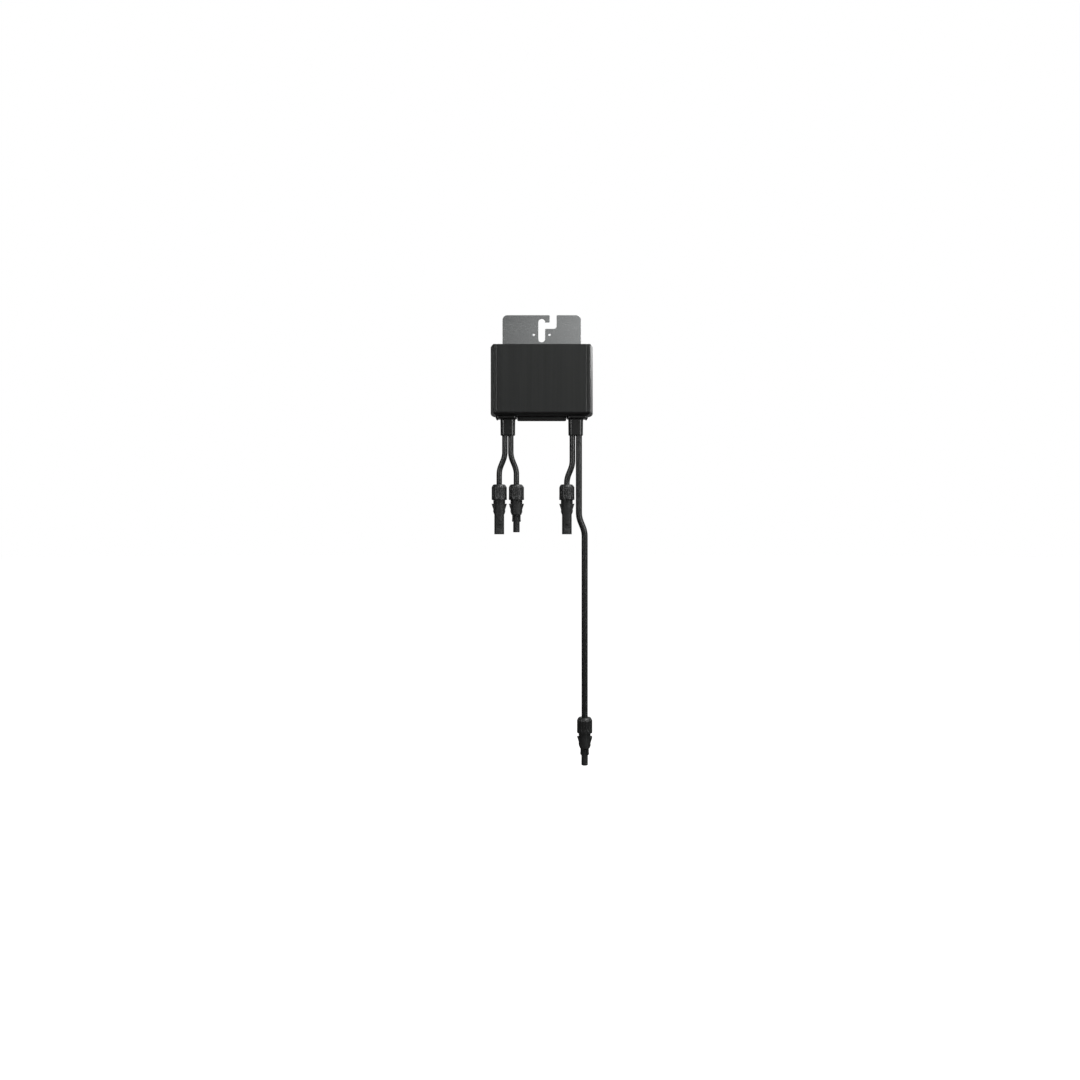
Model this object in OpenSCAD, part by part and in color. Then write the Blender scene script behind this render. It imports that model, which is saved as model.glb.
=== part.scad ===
// Power optimizer for a solar module: an extruded aluminium housing that hangs on a steel bracket,
// with two input leads and two output leads that end in round couplings.
// Millimetres, +Z up, the front faces -Y. The origin is the centre of the upper end of the bracket's
// slot, where a bolt carries the part, on the bracket's back face.

/* [Bracket] */
// Width of the bracket sheet
bracket_w = 100; // [92:0.2:106]
// Thickness of the bracket sheet
bracket_t = 2; // [1.5:0.1:2.5]
// Height of the bracket's top edge above the hanging point
bracket_rise = 8.6; // [7.5:0.1:12]
// Radius of the bracket's two top corners
bracket_corner_r = 6.3; // [3:0.1:10]
// Distance of the bracket's lower edge above the sleeve's lower end
bracket_foot = 8; // [5:0.5:12]
// Width of the hook slot, for the hanging bolt
slot_w = 8.4; // [6.6:0.1:9]
// Distance between the centres of the slot's two round ends
slot_drop = 21.7; // [20:0.1:23]
// Left side of the entry opening, from the slot's centre
entry_x = 10.2; // [8:0.1:12]
// Width of the entry opening
entry_w = 8.7; // [8:0.1:11]
// Distance of the hook's lower end below the hanging point
hook_drop = 0.4; // [0:0.1:1]
// Radius of the inner corner between the entry opening and the passage
entry_corner_r = 3.5; // [2:0.1:4]
// Radius of the small outer corners of the opening
opening_edge_r = 1.2; // [0.6:0.1:1.6]
// Diameter of the two small fixing holes
pilot_d = 3; // [2.5:0.1:4]
// Distance between the two small fixing holes
pilot_pitch = 20.2; // [17:0.1:24]
// Distance of the small fixing holes below the hanging point
pilot_drop = 16.2; // [14:0.1:20]
// Diameter of the rivet shanks that hold the bracket to the sleeve
rivet_d = 3.2; // [2.4:0.1:4]
// Diameter of the countersunk rivet heads
rivet_head_d = 6; // [5:0.1:7]
// Diameter of the formed rivet tails inside the sleeve
rivet_tail_d = 4.8; // [4.4:0.1:6]
// Height of the formed rivet tails
rivet_tail_h = 1.4; // [1:0.1:2]
// Distance between the two columns of rivets
rivet_pitch = 80; // [70:1:86]
// Distance of the rivets from the sleeve's upper and lower ends
rivet_end = 20; // [18:1:26]

/* [Sleeve] */
// Distance of the sleeve's upper end below the hanging point
body_drop = 34.2; // [32:0.1:40]
// Length of the extruded sleeve
sleeve_len = 84.3; // [80:0.1:100]
// Width of the sleeve's flat front
front_w = 120.8; // [114:0.2:124]
// Width of the sleeve at its widest line
side_w = 129; // [125:0.2:140]
// Depth of the sleeve from front to back
body_depth = 28; // [26:0.1:32]
// Distance of the widest line behind the front
side_taper = 18; // [14:0.5:19]
// Wall thickness of the sleeve
wall = 2; // [1.6:0.1:2.6]
// Radius of the front edges
front_edge_r = 1.5; // [0.8:0.1:2.4]
// Radius of the sleeve's shoulder at its widest line
shoulder_r = 6; // [3:0.5:8]
// Radius of the back edges
back_r = 9; // [5:0.5:9]
// Distance of each front groove's centre from the front edge
groove_inset = 4.4; // [3.6:0.1:8]
// Width of the front grooves
groove_w = 2.2; // [2:0.1:4]
// Depth of the front grooves
groove_depth = 0.6; // [0.4:0.1:1.2]
// Depth of the rails that hold the circuit board
rail_depth = 3; // [2.4:0.1:4]
// Thickness of each board rail
rail_t = 1.5; // [1:0.1:2]

/* [End caps] */
// Depth of both end caps' plugs inside the sleeve
plug_depth = 8; // [7:0.5:10]
// Wall thickness of the plugs
plug_wall = 2.4; // [2:0.1:3]
// Thickness of the top cap's plate
top_plate_t = 3; // [2:0.1:4]
// Distance of the top cap below the sleeve's upper end
top_recess = 0.8; // [0:0.1:2]
// Height of the bottom cap's rim below the sleeve
rim_h = 4; // [3:0.1:6]
// How far the bottom cap's rim rounds inwards
rim_round = 5.5; // [3:0.1:6]
// Height of the bowed lip at its ends
lip_h = 4.9; // [2:0.1:6]
// How far the lip bows down in the middle
lip_bow = 0.9; // [0.5:0.1:3]
// Depth of the lip from front to back
lip_depth = 6.5; // [5:0.5:7]
// Distance of the lip behind the sleeve's front
lip_setback = 15.5; // [8:0.5:15.5]
// Wall thickness of the hollow lip
lip_wall = 2; // [1.5:0.1:3]
// Height of the seals round the plugs
seal_h = 3; // [2:0.1:4]
// Thickness of the seals round the plugs
seal_t = 1.2; // [0.8:0.1:1.5]

/* [Cable boots] */
// Distance of each boot's axis from the side of the housing
boot_edge = 21.8; // [20.5:0.1:23.5]
// Distance of the leads behind the sleeve's front
lead_depth = 15; // [14:0.1:16]
// Width of a boot's neck
boot_w = 18.8; // [18.4:0.1:20]
// Depth of a boot's neck from front to back
boot_d = 10.6; // [9.6:0.1:12]
// Length of a boot's neck below its flange
boot_len = 20.9; // [14:0.1:22]
// How much narrower a boot's neck is at its mouth
boot_draft = 0.5; // [0:0.1:0.8]
// Reach of a boot's flange towards the middle of the housing
flange_in = 11.4; // [10.5:0.1:12]
// Reach of a boot's flange towards the side of the housing
flange_out = 15.2; // [12:0.1:16]
// Depth of a boot's flange from front to back
flange_d = 16; // [13:0.1:17]
// Thickness of a boot's flange
flange_t = 3; // [2:0.1:5]
// Radius of a boot flange's corners
flange_r = 4; // [2:0.1:5]
// Width of the catch under the outer end of a boot's flange
catch_w = 1.9; // [1:0.1:3]
// Height of the catch under the outer end of a boot's flange
catch_h = 1.3; // [0.5:0.1:2]

/* [Leads] */
// Diameter of both input leads
input_cable_d = 7; // [6:0.1:7.1]
// Diameter of the short output lead
short_cable_d = 7.3; // [6:0.1:7.5]
// Diameter of the long output lead
long_cable_d = 7.8; // [6:0.1:8]
// Distance between the axes of the two input leads in their boot
input_pitch = 7.5; // [7.4:0.1:7.9]
// Distance between the axes of the two output leads in their boot
output_pitch = 8.2; // [8.1:0.1:8.7]
// Distance of the input couplings' axes from the axis of their boot
input_spread = 10.8; // [10:0.1:12]
// Distance of the short output coupling's axis from the axis of its boot
short_spread = 11.1; // [10:0.1:12]
// Distance of the long output coupling's axis from the axis of its boot
long_spread = 11.3; // [10:0.1:12]
// Depth of the input leads' bends below the boots
input_bend = 34.7; // [20:0.1:45]
// Depth of the short output lead's bend below its boot
short_bend = 45.7; // [20:0.1:46]
// Depth of the long output lead's bend below its boot
long_bend = 111.8; // [20:0.1:330]
// Length of the three short leads below their boots
short_reach = 80; // [79:0.5:120]
// Length of the long lead below its boot
long_reach = 373; // [160:1:600]
// Radius of the leads' bends, in diameters of the lead
bend_share = 4.2; // [4:0.1:4.4]

/* [Couplings] */
// Outer diameter of the fluted nut
nut_d = 19.2; // [17.6:0.1:20]
// Height of the fluted nut
nut_h = 19.3; // [18:0.1:22]
// Radius of the nut's shoulder
nut_round = 3; // [2:0.1:3.4]
// Thickness of the nut's crown over the clamp ring
crown_t = 3; // [2.5:0.1:4]
// Number of flutes round the nut
nut_flutes = 16; // [12:1:20]
// Depth of the nut's flutes
flute_depth = 0.6; // [0.3:0.1:0.8]
// Radius of the nut's flutes
flute_r = 1; // [0.8:0.1:1.2]
// Height of the plain collar below the flutes
nut_collar = 3.5; // [2:0.1:5]
// Diameter of the housing's stub inside the nut
stub_d = 13.2; // [12.8:0.1:14]
// Bore of the stub, round the cable seal
stub_bore = 10.8; // [10.2:0.1:11.2]
// Height of the clamp ring
clamp_h = 6; // [5:0.1:7]
// Diameter of the clamp ring's narrow upper end
clamp_top_d = 10.8; // [10:0.1:12]
// Number of slits in the clamp ring
clamp_slits = 8; // [6:1:10]
// Width of the clamp ring's slits
clamp_slit_w = 1; // [0.6:0.1:1.4]
// Height of the cable seal
gland_h = 9.2; // [7:0.1:9.4]
// Diameter of the housing's neck below the nut
neck_d = 15; // [14.8:0.1:16]
// Height of the neck below the nut
neck_h = 4.9; // [4:0.1:7]
// Diameter of the housing's round front and back
core_d = 14.6; // [14:0.1:16]
// Width of the housing across its flats
core_w = 12; // [11.4:0.1:12.6]
// Length of the grip between the neck and the nose
grip_len = 13.8; // [13:0.1:16]
// Width across the tips of the two grip wings
wing_span = 18.9; // [17:0.1:20]
// Width across the waist of the two grip wings
wing_waist = 14.4; // [13.8:0.1:15.4]
// Depth of the grip wings from front to back
wing_d = 9; // [6:0.1:10]
// Length of the shell type's nose
nose_len = 24.6; // [23:0.1:28]
// Bore of the shell type's nose
nose_bore = 8.6; // [8.4:0.05:9]
// Distance of the latch window from the nose's end
window_end = 7.5; // [6:0.1:8]
// Height of the latch window
window_h = 5.4; // [4:0.1:6]
// Depth of the recess across the nose's front
recess = 1.1; // [0.5:0.1:1.2]
// Height of the sloped ledge below the recess
recess_ledge = 2.6; // [1:0.1:3]
// Diameter of the probe type's tube
probe_d = 8.2; // [7.8:0.05:8.3]
// Length of the probe type's tube beyond the grip
probe_len = 22.1; // [20:0.1:24]
// Length of the probe type's latch arms
arm_len = 8.8; // [8:0.1:11]
// Width of the latch arms from front to back
arm_w = 7.4; // [5:0.1:8]
// Thickness of the latch arms
arm_t = 0.8; // [0.7:0.1:1]
// Room between a latch arm and the tube, in which the arm bends
arm_gap = 0.45; // [0.45:0.05:0.6]
// How far the latch arms' barbs stand out
barb = 0.3; // [0.2:0.1:0.5]
// Diameter of the contact pin
pin_d = 4; // [3.6:0.05:4]
// Diameter of the pin's root in the housing
pin_root_d = 4.4; // [4.2:0.05:5]
// Distance of the pin's tip inside the nose
pin_recess = 13.2; // [13:0.1:16]
// Bore of the socket contact
socket_bore = 4; // [3.6:0.05:4.1]
// Outer diameter of the socket contact
socket_d = 5.2; // [5:0.05:5.3]
// Depth of the socket contact's bore
socket_depth = 20; // [14:0.5:22]
// Diameter of the contacts' crimp barrels
barrel_d = 5.5; // [5:0.1:6]
// Length of the contacts' crimp barrels
barrel_len = 9.6; // [8:0.1:11]
// Diameter of the contacts' collars
collar_d = 6.6; // [6.4:0.1:7]
// Height of the contacts' collars
collar_h = 2; // [1:0.1:2.5]
// Cross-section diameter of the probe's O-ring
oring_t = 1; // [0.8:0.05:1]
// How far the O-ring stands out of the probe's tube
oring_proud = 0.3; // [0.2:0.05:0.35]
// Distance of the O-ring's middle below the grip
oring_drop = 2; // [1.5:0.1:4]

/* [Electronics] */
// Thickness of the circuit board
board_t = 1.6; // [1.2:0.1:2]
// Distance of the board's side edges from the sleeve's side walls
board_side_gap = 1.5; // [1:0.1:1.8]
// Thickness of the thermal pad between the board and the sleeve's back
pad_t = 4; // [3:0.1:5]
// Height of the thermal pad
pad_h = 52; // [30:1:54]
// Outer diameter of the inductor's ring core
core_ring_d = 30; // [26:0.5:31]
// Bore of the inductor's ring core
core_ring_bore = 15; // [14:0.5:16]
// Height of the inductor's ring core
core_ring_h = 10; // [8:0.5:12]
// Number of turns round the inductor's core
winding_turns = 16; // [10:1:18]
// Thickness of the winding's wire
wire_t = 1.6; // [1:0.1:1.8]
// Diameter of the input capacitors
can_d = 12.5; // [10:0.5:13]
// Height of the input capacitors
can_h = 15; // [10:0.5:16]
// Number of input capacitors
can_count = 3; // [1:1:4]
// Distance between the input capacitors
can_pitch = 15; // [13.5:0.5:16]
// Thickness of the output capacitors
film_t = 8; // [6:0.5:9]
// Width of the output capacitors
film_w = 18; // [12:0.5:20]
// Height of the output capacitors
film_h = 14; // [8:0.5:15]
// Number of output capacitors
film_count = 4; // [1:1:4]
// Distance between the output capacitors
film_pitch = 11; // [9.5:0.5:14]
// Distance of both rows of capacitors from the board's side edges
capacitor_edge = 15; // [13:0.5:17]
// Side of the power switches' square packages
switch_w = 9; // [6:0.5:10]
// Height of the power switches
switch_h = 2.4; // [1.6:0.1:3]
// Length of the power switches' metal tabs
switch_tab = 1.5; // [1:0.1:2]
// Side of the control chips' square packages
chip_w = 8; // [5:0.5:10]
// Height of the control chips
chip_h = 1.4; // [1:0.1:2]
// Width of the line transformer
transformer_w = 14; // [10:0.5:16]
// Height of the line transformer above the board
transformer_h = 11; // [8:0.5:12]
// Depth of the line transformer along the board
transformer_d = 10; // [8:0.5:11]
// Diameter of the terminals' crimp barrels
terminal_d = 5; // [4:0.1:6]
// Length of the terminals' crimp barrels
terminal_len = 12.5; // [12.5:0.1:15]
// Width of the terminals' feet on the board
terminal_foot_w = 5; // [4:0.1:6]
// Height of the terminals' feet on the board
terminal_foot_h = 4; // [2:0.1:4]

/* [Fits] */
// Clearance between the sleeve and what slides into it
slide_gap = 0.15; // [0.1:0.05:0.25]
// Clearance round rubber pieces and in the couplings
seat_gap = 0.1; // [0.05:0.05:0.15]
// Clearance round the rivets
rivet_gap = 0.05; // [0.02:0.01:0.1]

/* [Hidden] */
$fn = 64;
// Steps on each rounded corner of an outline, and sides of a lead
corner_steps = 6;
cable_sides = 10;
// Least radius of an inset corner, and the least straight length between two corners
least_r = 0.4;
least_flat = 0.3;
// A small overlap for cuts that run past a face
past = 1;

anodised = [0.19, 0.20, 0.20];
steel = [0.50, 0.51, 0.51];
cap_black = [0.12, 0.12, 0.12];
rubber = [0.16, 0.16, 0.16];
plastic = [0.20, 0.20, 0.20];
tin = [0.72, 0.72, 0.70];
copper = [0.72, 0.42, 0.22];
solder_mask = [0.06, 0.30, 0.16];
ferrite = [0.25, 0.25, 0.27];
chip_black = [0.08, 0.08, 0.09];
silicone = [0.45, 0.55, 0.62];
film_box = [0.70, 0.64, 0.42];

// Levels of the housing
back_y = -bracket_t;
front_y = back_y - body_depth;
inner_back_y = back_y - wall;
lead_y = front_y + lead_depth;
sleeve_top = -body_drop;
sleeve_bottom = sleeve_top - sleeve_len;
rim_bottom = sleeve_bottom - rim_h;
flange_bottom = rim_bottom - flange_t;
boot_mouth = flange_bottom - boot_len;
boot_x = side_w / 2 - boot_edge;
top_plate_top = sleeve_top - top_recess;
top_plug_bottom = top_plate_top - top_plate_t - plug_depth;
bottom_plug_top = sleeve_bottom + plug_depth;
plug_inset = wall + slide_gap;

// Levels of the circuit board
board_back = inner_back_y - pad_t;
board_front = board_back - board_t;
board_w = side_w - 2 * (wall + board_side_gap);
board_bottom = bottom_plug_top + slide_gap;
board_top = top_plug_bottom - slide_gap;
board_mid = (board_bottom + board_top) / 2;
rail_from = bottom_plug_top + slide_gap;
rail_to = top_plug_bottom - slide_gap;
capacitor_x = board_w / 2 - capacitor_edge;
// Heights of the inductor and of the row of chips, from the middle of the board
inductor_z = -5;
chip_row_z = 24;
// Room between the inductor's core and its wire
wire_gap = 0.2;
// The power switches stand midway between the inductor and the output capacitors
winding_r = core_ring_d / 2 + wire_gap + wire_t;
switch_x = (winding_r + switch_tab + capacitor_x - film_w / 2) / 2;

// Outline of the sleeve from above, counter-clockwise, with the radius of each corner
widest_y = front_y + side_taper;
shoulder_turn = atan2((side_w - front_w) / 2, side_taper);
shoulder_reach = shoulder_r * tan(shoulder_turn / 2);
back_corner_r = min(back_r, body_depth - side_taper - shoulder_reach - least_flat);
sleeve_corners = [
    [front_w / 2, front_y],
    [side_w / 2, widest_y],
    [side_w / 2, back_y],
    [-side_w / 2, back_y],
    [-side_w / 2, widest_y],
    [-front_w / 2, front_y]
];
sleeve_radii = [front_edge_r, shoulder_r, back_corner_r, back_corner_r, shoulder_r, front_edge_r];

// Depths in a coupling, measured down from the nut's top
clamp_from = crown_t + seat_gap;
stub_from = clamp_from + clamp_h + seat_gap;
cable_end = stub_from + gland_h;
gland_floor = cable_end + seat_gap;
collar_from = cable_end + barrel_len;
collar_to = collar_from + collar_h;
collar_seat = collar_to + seat_gap;
neck_to = nut_h + neck_h;
grip_to = neck_to + grip_len;
nose_end = grip_to + nose_len;
probe_end = grip_to + probe_len;
arm_in = probe_d / 2 + arm_gap;
arm_out = arm_in + arm_t;
// Room in the shell's nose for the other half's latch arms
channel_out = arm_out + barb + seat_gap;
channel_w = arm_w + 4 * seat_gap;
window_to = nose_end - window_end;
window_from = window_to - window_h;
nut_bore_r = stub_d / 2 + slide_gap;
clamp_top_r = clamp_top_d / 2;
pin_tip = nose_end - pin_recess;
socket_tip = probe_end - slide_gap;

// Height of the leads' inner ends above the boots' mouths
lead_top = 28;
// Turn of a lead on each half of its bend, and the steps it is made in
bend_turn = 22;
bend_steps = 3;

// Each lead: name, side of the housing, diameter, route, whether its coupling is the shell type
LEADS = [
    [
        "input_left", -1, input_cable_d,
        lead_route(-input_pitch / 2, -input_spread, input_bend, input_cable_d, short_reach), true
    ],
    [
        "input_right", -1, input_cable_d,
        lead_route(input_pitch / 2, input_spread, input_bend, input_cable_d, short_reach), false
    ],
    [
        "output_short", 1, short_cable_d,
        lead_route(-output_pitch / 2, -short_spread, short_bend, short_cable_d, short_reach), true
    ],
    [
        "output_long", 1, long_cable_d,
        lead_route(output_pitch / 2, long_spread, long_bend, long_cable_d, long_reach), false
    ]
];
HOUSING_NODES = [
    "bracket", "bracket_rivets", "housing_sleeve", "top_cap", "top_seal", "bottom_cap", "bottom_seal",
    "input_boot", "output_boot", "circuit_board", "thermal_pad", "inductor_core", "inductor_winding",
    "input_capacitors", "output_capacitors", "power_switches", "control_chips", "line_transformer",
    "lead_terminals"
];
LEAD_PIECES = ["cable", "nut", "clamp_ring", "cable_seal", "housing", "contact"];

function name_of(lead) = lead[0];
function side_of(lead) = lead[1];
function diameter_of(lead) = lead[2];
function route_of(lead) = lead[3];
function is_shell(lead) = lead[4];

// S-shaped bend that runs down from x = from to x = to, with its middle at the given depth
function s_bend(from, to, depth, r) =
    let (
        side = sign(to - from),
        run = (abs(to - from) - 2 * r * (1 - cos(bend_turn))) / sin(bend_turn),
        half = r * sin(bend_turn) + run / 2 * cos(bend_turn),
        turns = [for (i = [0 : bend_steps]) bend_turn * i / bend_steps]
    )
    concat(
        [for (a = turns) [from + side * r * (1 - cos(a)), half - depth - r * sin(a)]],
        [
            for (i = [bend_steps : -1 : 0])
                [to - side * r * (1 - cos(turns[i])), r * sin(turns[i]) - half - depth]
        ]
    );
// Route of a lead as [x, z] from the middle of its boot's mouth: straight, a bend and straight again
function lead_route(from, to, depth, d, reach) =
    concat([[from, lead_top]], s_bend(from, to, depth, bend_share * d), [[to, -reach]]);

function unit(v) = v / norm(v);
function left_of(v) = [-v[1], v[0]];

// Points of an arc about c, from angle a over a sweep
function arc(c, r, a, sweep, steps) =
    [for (i = [0:steps]) c + r * [cos(a + sweep * i / steps), sin(a + sweep * i / steps)]];

// Corner i of a counter-clockwise outline, after its sides have moved inwards by d
function inset_corner(p, i, d) =
    let (
        n = len(p),
        from = left_of(unit(p[i] - p[(i + n - 1) % n])),
        to = left_of(unit(p[(i + 1) % n] - p[i]))
    )
    p[i] + d * (from + to) / (1 + from * to);

// Arc of radius r that rounds the corner p[i] of a convex outline
function rounded_corner(p, i, r) =
    let (
        n = len(p),
        a = unit(p[(i + n - 1) % n] - p[i]),
        b = unit(p[(i + 1) % n] - p[i]),
        half = acos(a * b) / 2,
        centre = p[i] + unit(a + b) * r / sin(half),
        start = p[i] + a * r / tan(half) - centre
    )
    arc(centre, r, atan2(start[1], start[0]), 180 - 2 * half, corner_steps);

// Convex outline moved inwards by d, with its corners rounded
function rounded_outline(p, radii, d) =
    let (moved = [for (i = [0:len(p) - 1]) inset_corner(p, i, d)])
    [for (i = [0:len(p) - 1]) each rounded_corner(moved, i, max(radii[i] - d, least_r))];

function sleeve_outline(d) = rounded_outline(sleeve_corners, sleeve_radii, d);

// Outline with two half-round ends, w wide and d deep
function stadium(w, d) = concat(
    arc([(w - d) / 2, 0], d / 2, -90, 180, 2 * corner_steps),
    arc([(d - w) / 2, 0], d / 2, 90, 180, 2 * corner_steps)
);

function raised(outline, z) = [for (p = outline) [p[0], p[1], z]];

// Solid skin over rings of points, from the lowest ring to the highest
module loft(rings) {
    n = len(rings[0]);
    top = (len(rings) - 1) * n;
    sides = [
        for (k = [0:len(rings) - 2], i = [0:n - 1])
            [k * n + i, (k + 1) * n + i, (k + 1) * n + (i + 1) % n, k * n + (i + 1) % n]
    ];
    polyhedron(
        [for (ring = rings) each ring],
        concat([[for (i = [0:n - 1]) i]], sides, [[for (i = [n - 1:-1:0]) top + i]])
    );
}

// Prism of an outline between two heights
module prism(outline, from, to) {
    translate([0, 0, from]) linear_extrude(to - from) polygon(outline);
}

// Ring-shaped prism between the sleeve's outline at two insets
module sleeve_ring(outer, inner, from, to) {
    difference() {
        prism(sleeve_outline(outer), from, to);
        prism(sleeve_outline(inner), from - past, to + past);
    }
}

// Turned solid from [radius, depth] points
module turned(profile) {
    rotate_extrude() polygon([for (p = profile) [p[0], -p[1]]]);
}

// Plate in the XZ plane, from y = -thickness to y = 0
module upright_plate(thickness) {
    rotate([90, 0, 0]) linear_extrude(thickness) children();
}

// Spandrel that rounds an outer corner at the origin, with its material towards +X and +Y
module corner_cut(r) {
    difference() {
        translate([-past, -past]) square(r + past);
        translate([r, r]) circle(r);
    }
}

// The four rivet positions
module at_rivets() {
    for (x = [-1, 1], z = [sleeve_top - rivet_end, sleeve_bottom + rivet_end])
        translate([x * rivet_pitch / 2, 0, z]) rotate([90, 0, 0]) children();
}

// Hook slot from the top edge: entry opening, passage and vertical slot
module hook_slot() {
    passage_top = -hook_drop;
    passage_bottom = passage_top - slot_w;
    entry_to = entry_x + entry_w;
    for (z = [0, -slot_drop]) translate([0, z]) circle(d = slot_w);
    translate([-slot_w / 2, -slot_drop]) square([slot_w, slot_drop]);
    translate([0, passage_bottom]) square([entry_to - entry_corner_r, slot_w]);
    translate([entry_x, passage_bottom + entry_corner_r])
        square([entry_w, bracket_rise + past - passage_bottom - entry_corner_r]);
    translate([entry_to - entry_corner_r, passage_bottom + entry_corner_r]) circle(entry_corner_r);
    translate([entry_x, passage_top]) rotate(90) corner_cut(opening_edge_r);
    translate([slot_w / 2, passage_bottom]) rotate(-90) corner_cut(opening_edge_r);
    translate([entry_x, bracket_rise]) rotate(180) corner_cut(opening_edge_r);
    translate([entry_to, bracket_rise]) rotate(-90) corner_cut(opening_edge_r);
}

module bracket_outline() {
    foot = sleeve_bottom + bracket_foot;
    difference() {
        translate([-bracket_w / 2, foot]) square([bracket_w, bracket_rise - foot]);
        hook_slot();
        translate([-bracket_w / 2, bracket_rise]) rotate(-90) corner_cut(bracket_corner_r);
        translate([bracket_w / 2, bracket_rise]) rotate(180) corner_cut(bracket_corner_r);
        translate([-bracket_w / 2, foot]) corner_cut(bracket_corner_r);
        translate([bracket_w / 2, foot]) rotate(90) corner_cut(bracket_corner_r);
    }
}

module bracket() {
    color(steel)
    difference() {
        upright_plate(bracket_t) bracket_outline();
        for (x = [-1, 1])
            translate([x * pilot_pitch / 2, past, -pilot_drop])
                rotate([90, 0, 0]) cylinder(d = pilot_d, h = bracket_t + 2 * past);
        at_rivets() {
            cylinder(d1 = rivet_head_d + 2 * rivet_gap, d2 = rivet_d + 2 * rivet_gap, h = bracket_t);
            translate([0, 0, bracket_t - past]) cylinder(d = rivet_d + 2 * rivet_gap, h = 2 * past);
        }
    }
}

module bracket_rivets() {
    color(steel)
    at_rivets() {
        inside = bracket_t + wall;
        translate([0, 0, rivet_gap])
            cylinder(d1 = rivet_head_d - 2 * rivet_gap, d2 = rivet_d, h = bracket_t - rivet_gap);
        translate([0, 0, bracket_t / 2]) cylinder(d = rivet_d, h = inside - bracket_t / 2);
        translate([0, 0, inside]) cylinder(d = rivet_tail_d, h = rivet_tail_h);
    }
}

// Board rails on one side wall, trimmed to the middle of the wall
module board_rails() {
    slot_half = board_t / 2 + slide_gap;
    middle = (board_front + board_back) / 2;
    reach = side_w / 2 - wall - rail_depth;
    intersection() {
        prism(sleeve_outline(wall / 2), rail_from, rail_to);
        for (side = [-1, 1], edge = [slot_half, -slot_half - rail_t])
            translate([side > 0 ? reach : -side_w / 2, middle + edge, rail_from])
                cube([side_w / 2 - reach, rail_t, rail_to - rail_from]);
    }
}

module housing_sleeve() {
    groove_r = (groove_w * groove_w / 4 + groove_depth * groove_depth) / (2 * groove_depth);
    color(anodised)
    difference() {
        union() {
            sleeve_ring(0, wall, sleeve_bottom, sleeve_top);
            board_rails();
        }
        for (side = [-1, 1])
            translate([
                side * (front_w / 2 - groove_inset),
                front_y + groove_depth - groove_r,
                sleeve_bottom - past
            ])
                cylinder(r = groove_r, h = sleeve_len + 2 * past);
        at_rivets() translate([0, 0, bracket_t - past])
            cylinder(d = rivet_d + 2 * rivet_gap, h = wall + 2 * past);
    }
}

// Plug frame inside the sleeve, with a groove for its seal
module plug(from) {
    seal_from = from + (plug_depth - seal_h) / 2;
    difference() {
        sleeve_ring(plug_inset, plug_inset + plug_wall, from, from + plug_depth);
        sleeve_ring(plug_inset - past, plug_inset + seal_t, seal_from, seal_from + seal_h);
    }
}

// Rubber ring in a plug's groove
module plug_seal(from) {
    seal_from = from + (plug_depth - seal_h) / 2;
    color(rubber)
    sleeve_ring(
        wall + seat_gap, plug_inset + seal_t - seat_gap,
        seal_from + seat_gap, seal_from + seal_h - seat_gap
    );
}

module top_cap() {
    color(cap_black)
    union() {
        prism(sleeve_outline(plug_inset), top_plate_top - top_plate_t, top_plate_top);
        plug(top_plug_bottom);
    }
}

module top_seal() {
    plug_seal(top_plug_bottom);
}

// Rim of the bottom cap, rounded inwards from the sleeve's own outline
module cap_rim() {
    loft([
        for (i = [corner_steps:-1:0])
            let (a = 90 * i / corner_steps)
            raised(sleeve_outline(rim_round * (1 - cos(a))), sleeve_bottom - rim_h * sin(a))
    ]);
}

// Bowed lip under the cap between the two boots, hollow from below
module cap_lip() {
    half = boot_x - flange_in - 2 * slide_gap;
    bow_r = (half * half + lip_bow * lip_bow) / (2 * lip_bow);
    bow_half = asin(half / bow_r);
    outline = concat(
        arc([0, bow_r - lip_h - lip_bow], bow_r, -90 - bow_half, 2 * bow_half, 2 * corner_steps),
        [[half, 0], [-half, 0]]
    );
    translate([0, front_y + lip_setback + lip_depth, rim_bottom])
    difference() {
        upright_plate(lip_depth) polygon(outline);
        translate([lip_wall - half, lip_wall - lip_depth, -lip_h - lip_bow - past])
            cube([2 * (half - lip_wall), lip_depth - 2 * lip_wall, lip_h + lip_bow + past - lip_wall / 2]);
    }
}

module bottom_cap() {
    color(cap_black)
    difference() {
        union() {
            cap_rim();
            plug(sleeve_bottom);
            cap_lip();
        }
        for (side = [-1, 1])
            translate([side * boot_x, lead_y, 0])
                prism(
                    stadium(boot_w + 2 * seat_gap, boot_d + 2 * seat_gap),
                    rim_bottom - past, sleeve_bottom + past
                );
    }
}

module bottom_seal() {
    plug_seal(sleeve_bottom);
}

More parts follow.
